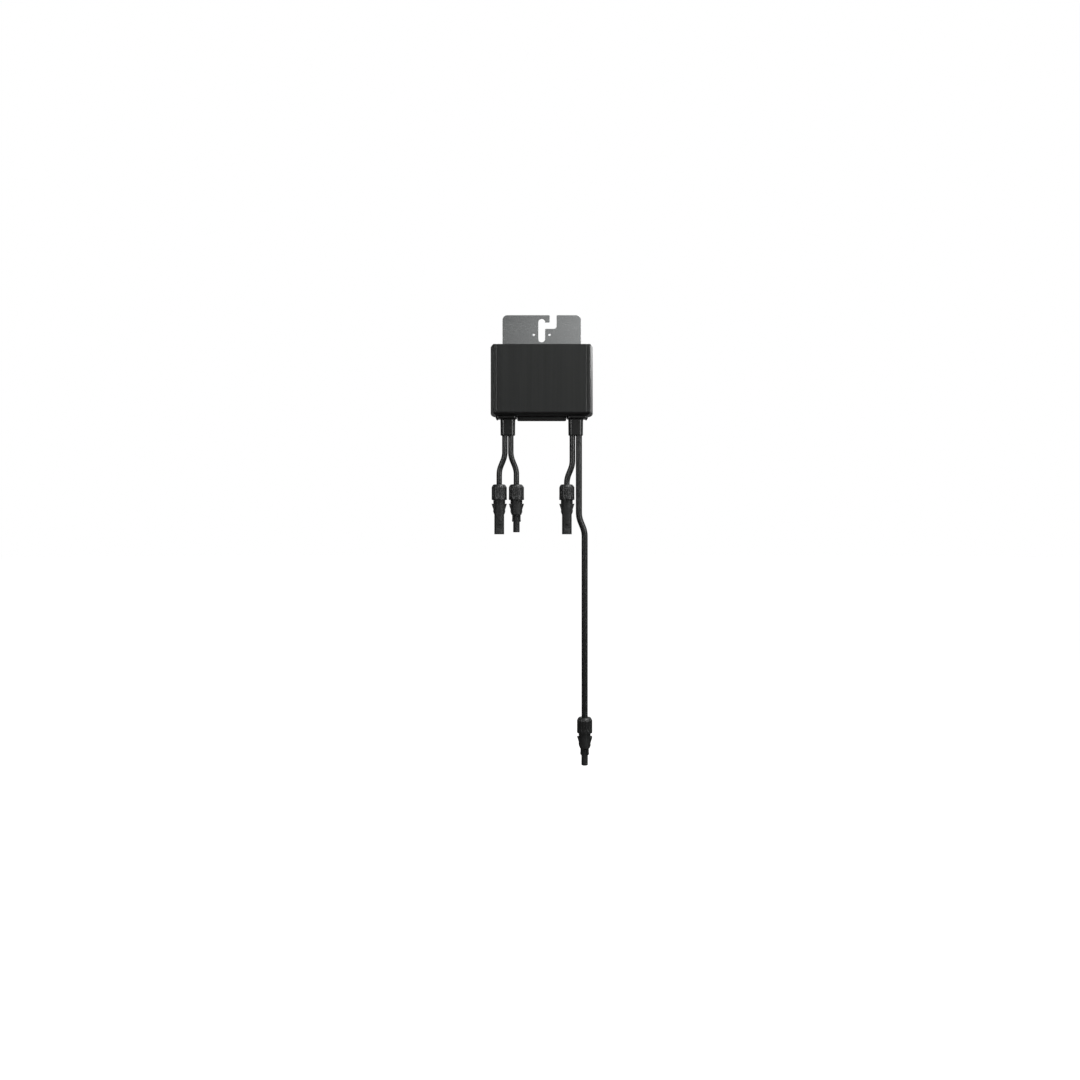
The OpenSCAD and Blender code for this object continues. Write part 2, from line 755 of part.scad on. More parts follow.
// Rubber boot for one pair of leads: a stem through the cap, a flange under it and a tapered neck
module boot(side) {
    mouth_round = 1;
    flange_edge = 1;
    right = side > 0 ? flange_out : flange_in;
    left = side > 0 ? -flange_in : -flange_out;
    flange = [
        [right, -flange_d / 2],
        [right, flange_d / 2],
        [left, flange_d / 2],
        [left, -flange_d / 2]
    ];
    flange_radii = [for (p = flange) flange_r];
    catch_from = side > 0 ? flange_out - flange_edge - catch_w : flange_edge - flange_out;
    catch_d = flange_d - 2 * flange_r;
    mouth_w = boot_w - boot_draft;
    mouth_d = boot_d - boot_draft;
    color(rubber)
    difference() {
        translate([side * boot_x, lead_y, 0])
        union() {
            prism(stadium(boot_w, boot_d), rim_bottom, sleeve_bottom);
            loft([
                raised(rounded_outline(flange, flange_radii, flange_edge), flange_bottom),
                raised(rounded_outline(flange, flange_radii, 0), flange_bottom + flange_edge),
                raised(rounded_outline(flange, flange_radii, 0), rim_bottom)
            ]);
            translate([catch_from, -catch_d / 2, flange_bottom - catch_h])
                cube([catch_w, catch_d, catch_h + flange_edge]);
            loft([
                raised(stadium(mouth_w - mouth_round, mouth_d - mouth_round), boot_mouth),
                raised(stadium(mouth_w, mouth_d), boot_mouth + mouth_round),
                raised(stadium(boot_w, boot_d), flange_bottom + flange_edge)
            ]);
        }
        for (lead = LEADS)
            if (side_of(lead) == side)
                translate([side * boot_x + route_of(lead)[0][0], lead_y, boot_mouth - past])
                    cylinder(d = diameter_of(lead) + 2 * seat_gap, h = sleeve_bottom - boot_mouth + 2 * past);
    }
}

module input_boot() {
    boot(-1);
}

module output_boot() {
    boot(1);
}

// Lead swept along its route: one ring of points for each point of the route
module cable(lead) {
    route = [for (p = route_of(lead)) [side_of(lead) * boot_x + p[0], lead_y, boot_mouth + p[1]]];
    last = len(route) - 1;
    color(rubber)
    loft([
        for (i = [last:-1:0])
            let (
                up = unit(route[max(i - 1, 0)] - route[min(i + 1, last)]),
                across = [up[2], 0, -up[0]]
            )
            [
                for (k = [0:cable_sides - 1])
                    let (a = 360 * k / cable_sides)
                    route[i] + diameter_of(lead) / 2 * (cos(a) * across + sin(a) * [0, 1, 0])
            ]
    ]);
}

// Moves a coupling's piece to the end of its lead
module at_coupling(lead) {
    route = route_of(lead);
    end = route[len(route) - 1];
    translate([side_of(lead) * boot_x + end[0], lead_y, boot_mouth + end[1] + cable_end]) children();
}

// Fluted nut, open for the lead above and for the housing's stub below
module coupling_nut(lead) {
    hole_r = diameter_of(lead) / 2 + 2 * seat_gap;
    r = nut_d / 2;
    shoulder = [
        for (p = arc([r - nut_round, -nut_round], nut_round, 90, -90, corner_steps)) [p[0], -p[1]]
    ];
    flute_from = nut_h - nut_collar;
    color(plastic)
    difference() {
        turned(concat(
            [[hole_r, 0]], shoulder,
            [
                [r, nut_h], [nut_bore_r, nut_h], [nut_bore_r, clamp_from + clamp_h],
                [clamp_top_r + slide_gap, crown_t], [hole_r, crown_t]
            ]
        ));
        for (i = [0:nut_flutes - 1])
            rotate(360 * i / nut_flutes)
                translate([r + flute_r - flute_depth, 0, -flute_from])
                    cylinder(r = flute_r, h = flute_from + past);
    }
}

// Slit clamp ring that the nut's cone presses onto the lead
module coupling_clamp_ring(lead) {
    hole_r = diameter_of(lead) / 2 + seat_gap;
    clamp_to = clamp_from + clamp_h;
    base_r = stub_d / 2;
    slit_to = clamp_to - clamp_h / 4;
    color(plastic)
    difference() {
        turned([
            [hole_r, clamp_from], [clamp_top_r, clamp_from], [base_r, clamp_to], [hole_r, clamp_to]
        ]);
        for (i = [0:clamp_slits - 1])
            rotate(360 * i / clamp_slits)
                translate([0, -clamp_slit_w / 2, -slit_to])
                    cube([base_r + past, clamp_slit_w, slit_to]);
    }
}

// Rubber sleeve that seals the lead in the stub
module coupling_cable_seal(lead) {
    hole_r = diameter_of(lead) / 2 + seat_gap;
    outer_r = stub_bore / 2 - seat_gap;
    color(rubber)
    turned([
        [hole_r, stub_from], [outer_r, stub_from], [outer_r, cable_end], [hole_r, cable_end]
    ]);
}

// Round body with two flats, between two depths of a coupling
module flat_sided(from, to) {
    intersection() {
        translate([0, 0, -to]) cylinder(d = core_d, h = to - from);
        translate([-core_w / 2, -core_d, -to]) cube([core_w, 2 * core_d, to - from]);
    }
}

// Grip wing on the +X side, with a sloped top, a waist and a small rib
module grip_wing() {
    root = core_w / 2 - past;
    tip = wing_span / 2;
    waist = wing_waist / 2;
    waist_share = 0.54;
    tip_slope = 0.5;
    rib = 0.2;
    rib_h = 1.6;
    rib_share = 0.62;
    rib_from = neck_to + rib_share * grip_len;
    rib_to = rib_from + rib_h;
    translate([0, wing_d / 2, 0])
        upright_plate(wing_d)
            polygon([
                [root, -neck_to - tip_slope], [tip, -neck_to],
                [waist, -neck_to - waist_share * grip_len], [waist + rib, -rib_from],
                [waist + rib, -rib_to],
                [core_w / 2, -grip_to], [root, -grip_to]
            ]);
}

// What both kinds of coupling housing share: the stub inside the nut, the neck and the winged grip
module housing_grip() {
    stub_r = stub_d / 2;
    neck_r = neck_d / 2;
    difference() {
        union() {
            turned([
                [0, stub_from], [stub_r, stub_from], [stub_r, nut_h], [neck_r, nut_h],
                [neck_r, neck_to], [0, neck_to]
            ]);
            flat_sided(neck_to, grip_to);
            grip_wing();
            mirror([1, 0, 0]) grip_wing();
        }
        turned([
            [0, stub_from - past], [stub_bore / 2, stub_from - past], [stub_bore / 2, gland_floor],
            [collar_d / 2 + seat_gap, gland_floor], [collar_d / 2 + seat_gap, collar_seat], [0, collar_seat]
        ]);
    }
}

// Recess across the front of the shell's nose, with a sloped ledge below it
module nose_recess() {
    front = core_d / 2;
    floor_y = front - recess;
    translate([-core_w, 0, 0])
    rotate([90, 0, 90])
    linear_extrude(2 * core_w)
        polygon([
            [-core_d, -window_from], [-core_d, -window_to - recess_ledge],
            [-front, -window_to - recess_ledge], [-floor_y, -window_to], [-floor_y, -window_from]
        ]);
}

// Coupling housing with an open shell round its contact pin, a recess in front and a latch window behind
module shell_housing() {
    difference() {
        union() {
            housing_grip();
            flat_sided(grip_to, nose_end);
        }
        turned([
            [0, collar_seat - past], [pin_root_d / 2 + seat_gap, collar_seat - past],
            [pin_root_d / 2 + seat_gap, grip_to], [nose_bore / 2, grip_to],
            [nose_bore / 2, nose_end + past], [0, nose_end + past]
        ]);
        translate([-channel_w / 2, -channel_out, -nose_end - past])
            cube([channel_w, 2 * channel_out, nose_end + past - window_from]);
        translate([-channel_w / 2, 0, -window_to])
            cube([channel_w, core_d, window_h]);
        nose_recess();
    }
}

// Latch arm on the +X side, bent round the tube, with a barb at its free end
module latch_arm() {
    barb_share = 0.72;
    barb_from = grip_to + barb_share * arm_len;
    arm_to = grip_to + arm_len;
    intersection() {
        turned([
            [arm_in, grip_to - past], [arm_out, grip_to - past], [arm_out, barb_from],
            [arm_out + barb, barb_from + barb], [arm_out, arm_to], [arm_in, arm_to]
        ]);
        translate([0, -arm_w / 2, -arm_to - past])
            cube([2 * arm_out, arm_w, arm_len + 3 * past]);
    }
}

// Coupling housing with a tube round its socket contact and two latch arms
module probe_housing() {
    tube_r = probe_d / 2;
    bore_r = socket_d / 2 + seat_gap;
    groove_r = tube_r + oring_proud - oring_t - seat_gap;
    groove_mid = grip_to + oring_drop;
    groove_half = oring_t / 2 + seat_gap;
    end_round = 0.5;
    difference() {
        union() {
            housing_grip();
            turned([
                [0, grip_to - past], [tube_r, grip_to - past], [tube_r, groove_mid - groove_half],
                [groove_r, groove_mid - groove_half], [groove_r, groove_mid + groove_half],
                [tube_r, groove_mid + groove_half], [tube_r, probe_end - end_round],
                [tube_r - end_round, probe_end], [0, probe_end]
            ]);
            latch_arm();
            mirror([1, 0, 0]) latch_arm();
        }
        turned([
            [0, collar_seat - past], [bore_r, collar_seat - past], [bore_r, probe_end + past],
            [0, probe_end + past]
        ]);
    }
}

module coupling_housing(lead) {
    color(plastic)
    if (is_shell(lead)) shell_housing();
    else probe_housing();
}

// Contact in the housing: a crimp barrel, a collar and a pin or a socket
module coupling_contact(lead) {
    barrel_r = barrel_d / 2;
    collar_r = collar_d / 2;
    root_r = pin_root_d / 2;
    pin_r = pin_d / 2;
    socket_r = socket_d / 2;
    tip_round = 1;
    color(tin)
    if (is_shell(lead))
        turned(concat(
            [
                [0, cable_end], [barrel_r, cable_end], [barrel_r, collar_from], [collar_r, collar_from],
                [collar_r, collar_to], [root_r, collar_to], [root_r, grip_to], [pin_r, grip_to]
            ],
            [for (p = arc([pin_r - tip_round, tip_round - pin_tip], tip_round, 0, -90, corner_steps))
                [p[0], -p[1]]],
            [[0, pin_tip]]
        ));
    else
        turned([
            [0, cable_end], [barrel_r, cable_end], [barrel_r, collar_from], [collar_r, collar_from],
            [collar_r, collar_to], [socket_r, collar_to], [socket_r, socket_tip],
            [socket_bore / 2, socket_tip], [socket_bore / 2, socket_tip - socket_depth],
            [0, socket_tip - socket_depth]
        ]);
}

// O-ring in the groove of a probe's tube
module coupling_o_ring() {
    color(rubber)
    translate([0, 0, -grip_to - oring_drop])
        rotate_extrude() translate([probe_d / 2 + oring_proud - oring_t / 2, 0]) circle(d = oring_t);
}

module circuit_board() {
    color(solder_mask)
    translate([-board_w / 2, board_front, board_bottom])
        cube([board_w, board_t, board_top - board_bottom]);
}

// Soft pad that carries heat from the board to the sleeve's back, between the rivet tails
module thermal_pad() {
    pad_w = rivet_pitch - 2 * rivet_tail_d;
    color(silicone)
    translate([-pad_w / 2, board_back, board_mid - pad_h / 2])
        cube([pad_w, pad_t, pad_h]);
}

// Stands its children on the front of the board at x, z from the board's middle, with +Z outwards
module on_board(x, z) {
    translate([x, board_front, board_mid + z]) rotate([90, 0, 0]) children();
}

module inductor_core() {
    color(ferrite)
    on_board(0, inductor_z)
        translate([0, 0, wire_t + wire_gap])
            difference() {
                cylinder(d = core_ring_d, h = core_ring_h);
                translate([0, 0, -past]) cylinder(d = core_ring_bore, h = core_ring_h + 2 * past);
            }
}

module inductor_winding() {
    inner = core_ring_bore / 2 - wire_gap;
    outer = core_ring_d / 2 + wire_gap;
    clear_h = core_ring_h + 2 * wire_gap;
    color(copper)
    on_board(0, inductor_z)
        for (i = [0:winding_turns - 1])
            rotate(360 * i / winding_turns)
                translate([0, -wire_t / 2, 0])
                    difference() {
                        translate([inner - wire_t, 0, 0])
                            cube([outer - inner + 2 * wire_t, wire_t, clear_h + 2 * wire_t]);
                        translate([inner, -past, wire_t])
                            cube([outer - inner, wire_t + 2 * past, clear_h]);
                    }
}

module input_capacitors() {
    top_round = 1;
    color(chip_black)
    for (i = [0:can_count - 1])
        on_board(-capacitor_x, (i - (can_count - 1) / 2) * can_pitch)
            rotate_extrude()
                polygon([
                    [0, 0], [can_d / 2, 0], [can_d / 2, can_h - top_round],
                    [can_d / 2 - top_round, can_h], [0, can_h]
                ]);
}

module output_capacitors() {
    color(film_box)
    for (i = [0:film_count - 1])
        on_board(capacitor_x, (i - (film_count - 1) / 2) * film_pitch)
            translate([-film_w / 2, -film_t / 2, 0]) cube([film_w, film_t, film_h]);
}

// Square package with a thin metal tab along one side
module power_switches() {
    tab_t = 0.8;
    row_gap = 4;
    color(chip_black)
    for (x = [-1, 1], z = [-1, 1])
        on_board(x * switch_x, inductor_z + z * (switch_w + row_gap) / 2)
            union() {
                translate([-switch_w / 2, -switch_w / 2, 0]) cube([switch_w, switch_w, switch_h]);
                translate([-switch_w / 2 - switch_tab, switch_tab - switch_w / 2, 0])
                    cube([switch_tab + past, switch_w - 2 * switch_tab, tab_t]);
            }
}

module control_chips() {
    color(chip_black)
    for (x = [-1, 1])
        on_board(x * switch_x, chip_row_z)
            translate([-chip_w / 2, -chip_w / 2, 0]) cube([chip_w, chip_w, chip_h]);
}

// Bobbin flanges round a winding block
module line_transformer() {
    flange = 1.5;
    color(ferrite)
    on_board(0, chip_row_z)
        union() {
            translate([-transformer_w / 2, flange - transformer_d / 2, 0])
                cube([transformer_w, transformer_d - 2 * flange, transformer_h]);
            for (x = [-transformer_w / 2, transformer_w / 2 - flange])
                translate([x, -transformer_d / 2, 0])
                    cube([flange, transformer_d, transformer_h]);
        }
}

// Crimp terminals that stand on the leads' upper ends and are soldered to the board
module lead_terminals() {
    color(tin)
    for (lead = LEADS)
        translate([side_of(lead) * boot_x + route_of(lead)[0][0], 0, boot_mouth + route_of(lead)[0][1]])
            union() {
                translate([0, lead_y, 0]) cylinder(d = terminal_d, h = terminal_len);
                translate([-terminal_foot_w / 2, lead_y, terminal_len - terminal_foot_h])
                    cube([terminal_foot_w, board_front - lead_y, terminal_foot_h]);
            }
}

bracket();
bracket_rivets();
housing_sleeve();
top_cap();
top_seal();
bottom_cap();
bottom_seal();
input_boot();
output_boot();
circuit_board();
thermal_pad();
inductor_core();
inductor_winding();
input_capacitors();
output_capacitors();
power_switches();
control_chips();
line_transformer();
lead_terminals();
for (lead = LEADS) {
    cable(lead);
    at_coupling(lead) coupling_nut(lead);
    at_coupling(lead) coupling_clamp_ring(lead);
    at_coupling(lead) coupling_cable_seal(lead);
    at_coupling(lead) coupling_housing(lead);
    at_coupling(lead) coupling_contact(lead);
    if (!is_shell(lead))
        at_coupling(lead) coupling_o_ring();
}
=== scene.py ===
"""Looks of the power optimizer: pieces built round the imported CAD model.

All lengths are in metres, in the frame that the CAD model and the physics model share."""

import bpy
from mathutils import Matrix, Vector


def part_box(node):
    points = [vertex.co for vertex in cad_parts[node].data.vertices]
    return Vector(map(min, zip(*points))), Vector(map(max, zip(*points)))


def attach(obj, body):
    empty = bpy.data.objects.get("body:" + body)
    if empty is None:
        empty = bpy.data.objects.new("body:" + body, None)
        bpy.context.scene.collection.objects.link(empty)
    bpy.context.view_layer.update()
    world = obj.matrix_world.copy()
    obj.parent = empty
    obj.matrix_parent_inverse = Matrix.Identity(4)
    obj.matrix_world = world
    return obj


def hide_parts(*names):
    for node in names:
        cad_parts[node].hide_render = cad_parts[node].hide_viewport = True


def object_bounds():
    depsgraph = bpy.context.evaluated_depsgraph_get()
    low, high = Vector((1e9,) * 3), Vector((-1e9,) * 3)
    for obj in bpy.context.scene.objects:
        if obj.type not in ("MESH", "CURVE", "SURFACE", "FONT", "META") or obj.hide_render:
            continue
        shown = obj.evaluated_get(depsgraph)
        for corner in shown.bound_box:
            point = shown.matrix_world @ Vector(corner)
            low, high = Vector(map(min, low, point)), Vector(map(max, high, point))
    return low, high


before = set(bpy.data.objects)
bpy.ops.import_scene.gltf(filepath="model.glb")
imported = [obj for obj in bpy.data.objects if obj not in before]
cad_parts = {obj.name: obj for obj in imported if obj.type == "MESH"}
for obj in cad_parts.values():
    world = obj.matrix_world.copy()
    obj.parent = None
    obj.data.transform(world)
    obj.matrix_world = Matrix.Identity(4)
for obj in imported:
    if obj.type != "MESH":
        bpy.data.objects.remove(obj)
CAD_BOX = [list(corner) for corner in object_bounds()]

import math

import bmesh
import bpy
from bpy.props import FloatProperty, FloatVectorProperty, IntProperty, PointerProperty
from mathutils import Matrix, Vector

bl_info = {
    "name": "Power Optimizer",
    "version": (1, 0, 0),
    "blender": (4, 5, 0),
    "location": "View3D > Sidebar > Optimizer",
    "description": "Builds a power optimizer with its bracket, leads and couplings",
    "category": "Object",
}

MM = 0.001
BODY = "root"

# Points nearer than this become one; those of the CAD meshes lie a little further apart.
WELD, CAD_WELD = 1e-6, 2e-6
# Faces that meet at less than this angle shade as one smooth surface.
SMOOTH_ANGLE = math.radians(32)
# CAD faces that meet at less than the first angle are joined; edges over the second are rounded.
FLAT_ANGLE, HARD_ANGLE = math.radians(1), math.radians(40)
# Smallest radius that a corner keeps when its outline is moved inwards.
LEAST_RADIUS = 0.4 * MM
# Steps round each corner of the sleeve, outside and inside.
OUTER_STEPS, INNER_STEPS = 14, 8


def linear(code):
    """Linear colour of an sRGB hex value such as #2a2c2b."""
    parts = [int(code[i:i + 2], 16) / 255 for i in (1, 3, 5)]
    return tuple(c / 12.92 if c <= 0.04045 else ((c + 0.055) / 1.055) ** 2.4 for c in parts)


def length(label, text, mm):
    """A size in millimetres, kept in metres."""
    return FloatProperty(
        name=label, description=text, default=mm * MM, unit="LENGTH", precision=5
    )


def colour(label, text, code):
    """A colour that the user may change."""
    return FloatVectorProperty(
        name=label, description=text, default=linear(code), subtype="COLOR", min=0, max=1
    )


class OptimizerHousing(bpy.types.PropertyGroup):
    """Sizes of the sleeve, the bracket, the cap and the boots."""

    front_width: length("Front width", "Width of the sleeve's flat front", 120.8)
    taper: length("Side taper", "Distance of the widest line behind the front", 18)
    wall: length("Wall", "Wall thickness of the sleeve", 2)
    front_radius: length("Front edges", "Radius of the sleeve's front edges", 1.5)
    shoulder_radius: length("Shoulders", "Radius of the sleeve's shoulders", 6)
    back_radius: length("Back edges", "Radius of the sleeve's back edges", 9)
    groove_inset: length("Groove inset", "Distance of each front groove from the front edge", 4.4)
    groove_width: length("Groove width", "Width of the front grooves", 2.2)
    groove_depth: length("Groove depth", "Depth of the front grooves", 0.6)
    cut_edge: length("Cut edges", "Rounding of the sleeve's and the bracket's cut edges", 0.2)
    slot_width: length("Slot width", "Width of the hook slot", 8.4)
    slot_drop: length("Slot drop", "Distance between the slot's two round ends", 21.7)
    rim_height: length("Rim height", "Height of the bottom cap's rounded rim", 4)
    rim_round: length("Rim round", "How far the bottom cap's rim rounds inwards", 5.5)
    lip_bow: length("Lip bow", "How far the cap's lip bows down in the middle", 0.9)
    lip_depth: length("Lip depth", "Depth of the cap's lip from front to back", 6.5)
    lip_setback: length("Lip setback", "Distance of the lip behind the sleeve's front", 15.5)
    lip_wall: length("Lip wall", "Wall thickness of the cap's hollow lip", 2)
    boot_offset: length("Boot offset", "Distance of each boot's axis from the middle", 42.7)
    flange_thickness: length("Flange thickness", "Thickness of a boot's flange", 3)
    catch_width: length("Catch width", "Width of the catch under a boot's flange", 1.9)
    catch_height: length("Catch height", "Height of the catch under a boot's flange", 1.3)
    neck_width: length("Neck width", "Width of a boot's neck", 18.8)
    neck_depth: length("Neck depth", "Depth of a boot's neck", 10.6)
    neck_draft: length("Neck draft", "How much narrower a boot's neck is at its mouth", 0.5)


class OptimizerCouplings(bpy.types.PropertyGroup):
    """Sizes of the couplings on the leads."""

    shoulder_height: length("Shoulder height", "Height of the nut's sloped shoulder", 3.6)
    shoulder_width: length("Shoulder width", "How far the nut's shoulder slopes inwards", 1.9)
    nut_collar: length("Nut collar", "Height of the plain collar below the flutes", 3.5)
    flute_depth: length("Flute depth", "Depth of the nut's flutes", 0.6)
    flutes: IntProperty(
        name="Flutes", description="Number of flutes round each nut", default=16, min=8, max=24
    )
    moulded_edge: length("Moulded edges", "Rounding of the housings' moulded edges", 0.25)


class OptimizerColours(bpy.types.PropertyGroup):
    """Colours of the finishes that show."""

    sleeve: colour("Sleeve", "Black anodised aluminium of the sleeve", "#141615")
    bracket: colour("Bracket", "Satin steel of the bracket", "#a5a7a7")
    cap: colour("Caps", "Moulded plastic of the end caps", "#0f1010")
    boot: colour("Boots", "Rubber of the cable boots", "#101111")
    sheath: colour("Leads", "Sheath of the leads", "#181919")
    nut: colour("Nuts", "Moulded plastic of the couplings' nuts", "#1c1d1d")
    moulding: colour("Mouldings", "Moulded plastic of the couplings' housings", "#222323")


class OptimizerStage(bpy.types.PropertyGroup):
    """Light and camera."""

    camera_place: FloatVectorProperty(
        name="Camera", description="Place of the camera, which looks level to the back",
        default=(-0.0022, -1.130, -0.2778), subtype="TRANSLATION", precision=4,
    )
    lens: FloatProperty(
        name="Lens", description="Focal length on a 36 mm sensor", default=29.52, unit="CAMERA"
    )
    floor_drop: length("Floor drop", "Distance of the floor below the longest lead's end", 430)
    key_power: FloatProperty(
        name="Key", description="Power of the softbox at the upper right", default=40, unit="POWER"
    )
    back_power: FloatProperty(
        name="Back", description="Power of the lamp behind the part", default=4, unit="POWER"
    )
    fill: FloatProperty(
        name="Fill", description="Strength of the even light from all round", default=0.15
    )


def add_node(tree, kind, inputs=None, **settings):
    """Adds one node with its settings, and gives its outputs.

    Each input is a constant, or a socket that is linked into it."""
    node = tree.nodes.new(kind)
    for key, value in settings.items():
        setattr(node, key, value)
    for key, value in (inputs or {}).items():
        if isinstance(value, bpy.types.NodeSocket):
            tree.links.new(value, node.inputs[key])
        else:
            node.inputs[key].default_value = value
    return node.outputs


def fresh_tree(owner):
    """The emptied node tree of a material or a world."""
    owner.use_nodes = True
    owner.node_tree.nodes.clear()
    return owner.node_tree


def seen_rays(tree):
    """1 for rays that see the background: the camera's, mirrored ones and ones through glass."""
    path = add_node(tree, "ShaderNodeLightPath")
    seen = path["Is Camera Ray"]
    for ray in ("Is Glossy Ray", "Is Transmission Ray"):
        seen = add_node(tree, "ShaderNodeMath", {0: seen, 1: path[ray]}, operation="MAXIMUM")[0]
    return seen


# Share of the fine grain in a finish's variation; the slow mottle gives the rest.
FINE_SHARE = 0.6


def finish_of(name, base, spread, grain, rough, relief, stretch=(1, 1, 1), mottle=18, metallic=0.0,
              ior=1.5, specular=0.5):
    """A finish whose colour, roughness and relief follow a grain in millimetres over a slow mottle.

    The colour varies about its base by the share spread, and the roughness between the two ends of
    rough. relief is the grain's height in millimetres, and stretch makes the grain longer along an
    axis where it is below 1."""
    material = bpy.data.materials.get(name)
    if material:
        return material
    material = bpy.data.materials.new(name)
    tree = fresh_tree(material)
    low, high = ([min(1.0, c * k) for c in base] for k in (1 - spread, 1 + spread))
    place = add_node(tree, "ShaderNodeTexCoord")["Object"]
    along = add_node(tree, "ShaderNodeMapping", {"Vector": place, "Scale": stretch})["Vector"]
    fine = add_node(tree, "ShaderNodeTexNoise", {
        "Vector": along, "Scale": 1 / (grain * MM), "Detail": 3.0, "Roughness": 0.6,
    })["Fac"]
    slow = add_node(
        tree, "ShaderNodeTexNoise", {"Vector": along, "Scale": 1 / (mottle * MM), "Detail": 2.0}
    )["Fac"]
    part = add_node(tree, "ShaderNodeMath", {0: fine, 1: FINE_SHARE}, operation="MULTIPLY")[0]
    share = add_node(
        tree, "ShaderNodeMath", {0: slow, 1: 1 - FINE_SHARE, 2: part}, operation="MULTIPLY_ADD"
    )[0]
    # Most of the noise lies in this band round its mean.
    band = {"Value": share, "From Min": 0.3, "From Max": 0.7}
    level = add_node(tree, "ShaderNodeMapRange", band)["Result"]
    # Sockets 6 and 7 of the mix are its two colours, and output 2 is the mixed one.
    tint = add_node(
        tree, "ShaderNodeMix", {0: level, 6: (*low, 1), 7: (*high, 1)}, data_type="RGBA"
    )[2]
    ends = {"To Min": rough[0], "To Max": rough[1]}
    gloss = add_node(tree, "ShaderNodeMapRange", {**band, **ends})["Result"]
    bump = add_node(
        tree, "ShaderNodeBump", {"Height": fine, "Distance": relief * MM, "Strength": 1.0}
    )["Normal"]
    shader = add_node(tree, "ShaderNodeBsdfPrincipled", {
        "Base Color": tint, "Roughness": gloss, "Normal": bump,
        "Metallic": metallic, "IOR": ior, "Specular IOR Level": specular,
    })["BSDF"]
    add_node(tree, "ShaderNodeOutputMaterial", {"Surface": shader})
    return material


def sleeve_finish():
    # Black anodised aluminium, brushed along the extrusion: satin black with faint upright streaks.
    # Real brush lines are about 0.1 mm wide; 1.4 mm is what the render can show.
    return finish_of(
        "black anodised aluminium, brushed", bpy.context.scene.optimizer_colours.sleeve,
        spread=0.45, grain=1.4, rough=(0.4, 0.48), relief=0.012, stretch=(1, 1, 0.012), mottle=9,
        ior=1.41,
    )


def bracket_finish():
    # Satin rolled steel sheet: an even grey metal with a soft mirror and a grain along the rolling.
    return finish_of(
        "rolled steel sheet, satin", bpy.context.scene.optimizer_colours.bracket, spread=0.07,
        grain=0.9, rough=(0.23, 0.28), relief=0.003, stretch=(0.12, 1, 1), mottle=30, metallic=1.0,
    )


def rivet_finish():
    # Steel rivets, set with a flat punch: a little duller than the sheet.
    return finish_of(
        "steel rivet, punched", linear("#9a9c9d"), spread=0.08, grain=0.6, rough=(0.3, 0.42),
        relief=0.01, mottle=4, metallic=1.0,
    )


def cap_finish():
    # Polyamide, moulded in a lightly polished tool: deep black with a soft even sheen.
    return finish_of(
        "polyamide cap, moulded", bpy.context.scene.optimizer_colours.cap, spread=0.18, grain=0.7,
        rough=(0.28, 0.36), relief=0.008,
    )


def boot_finish():
    # Moulded EPDM rubber: soft grey-black with a low sheen and a faint bloom.
    return finish_of(
        "EPDM rubber boot, moulded", bpy.context.scene.optimizer_colours.boot, spread=0.2,
        grain=1.0, rough=(0.27, 0.35), relief=0.012, mottle=7, specular=0.42,
    )


def sheath_finish():
    # Cross-linked polyolefin sheath, extruded: smooth satin black with faint lines along the lead.
    return finish_of(
        "polyolefin sheath, extruded", bpy.context.scene.optimizer_colours.sheath, spread=0.14,
        grain=0.8, rough=(0.33, 0.38), relief=0.003, stretch=(1, 1, 0.01), mottle=12, specular=0.36,
    )


def nut_finish():
    # Polyamide, moulded in a fine-eroded tool: black with a satin sheen that picks out the flutes.
    return finish_of(
        "polyamide nut, moulded", bpy.context.scene.optimizer_colours.nut, spread=0.16, grain=0.6,
        rough=(0.36, 0.46), relief=0.014, specular=0.4,
    )


def moulding_finish():
    # Polyphenylene ether, moulded in a fine-eroded tool: matt charcoal with a fine grain.
    return finish_of(
        "polyphenylene housing, moulded", bpy.context.scene.optimizer_colours.moulding,
        spread=0.16, grain=0.6, rough=(0.5, 0.62), relief=0.014, specular=0.25,
    )


def seal_finish():
    # Moulded silicone rubber: dense matt black.
    return finish_of(
        "silicone seal, moulded", linear("#191919"), spread=0.15, grain=0.8, rough=(0.5, 0.62),
        relief=0.01,
    )


def contact_finish():
    # Tin-plated copper: a soft warm silver with a slightly cloudy mirror.
    return finish_of(
        "tin-plated copper", linear("#c4c3bd"), spread=0.07, grain=0.7, rough=(0.22, 0.36),
        relief=0.004, metallic=1.0,
    )


def board_finish():
    # Glass laminate under a green solder mask: glossy green with the weave just showing.
    return finish_of(
        "glass laminate, solder mask", linear("#17583a"), spread=0.25, grain=1.2,
        rough=(0.24, 0.34), relief=0.02,
    )


def pad_finish():
    # Filled silicone pad: chalky blue-grey and quite matt.
    return finish_of(
        "filled silicone pad", linear("#8497a4"), spread=0.12, grain=1.0, rough=(0.66, 0.8),
        relief=0.03,
    )


def ferrite_finish():
    # Sintered ferrite: dark grey ceramic with a fine pitted surface.
    return finish_of(
        "sintered ferrite", linear("#3c3d40"), spread=0.2, grain=0.5, rough=(0.4, 0.6), relief=0.03
    )


def copper_finish():
    # Enamelled copper wire: glossy orange-brown.
    return finish_of(
        "enamelled copper", linear("#b8703d"), spread=0.12, grain=0.8, rough=(0.16, 0.26),
        relief=0.005, metallic=1.0,
    )


def can_finish():
    # Heat-shrunk sleeve on an aluminium can: smooth satin black.
    return finish_of(
        "sleeved capacitor can", linear("#1a1b1e"), spread=0.14, grain=1.5, rough=(0.26, 0.38),
        relief=0.008,
    )


def film_finish():
    # Moulded polyester box: matt straw yellow.
    return finish_of(
        "polyester capacitor box", linear("#b9a868"), spread=0.1, grain=0.8, rough=(0.5, 0.64),
        relief=0.02,
    )


def chip_finish():
    # Moulded epoxy package: matt near-black with a sandy grain.
    return finish_of(
        "epoxy chip package", linear("#17181a"), spread=0.2, grain=0.4, rough=(0.5, 0.66),
        relief=0.02,
    )


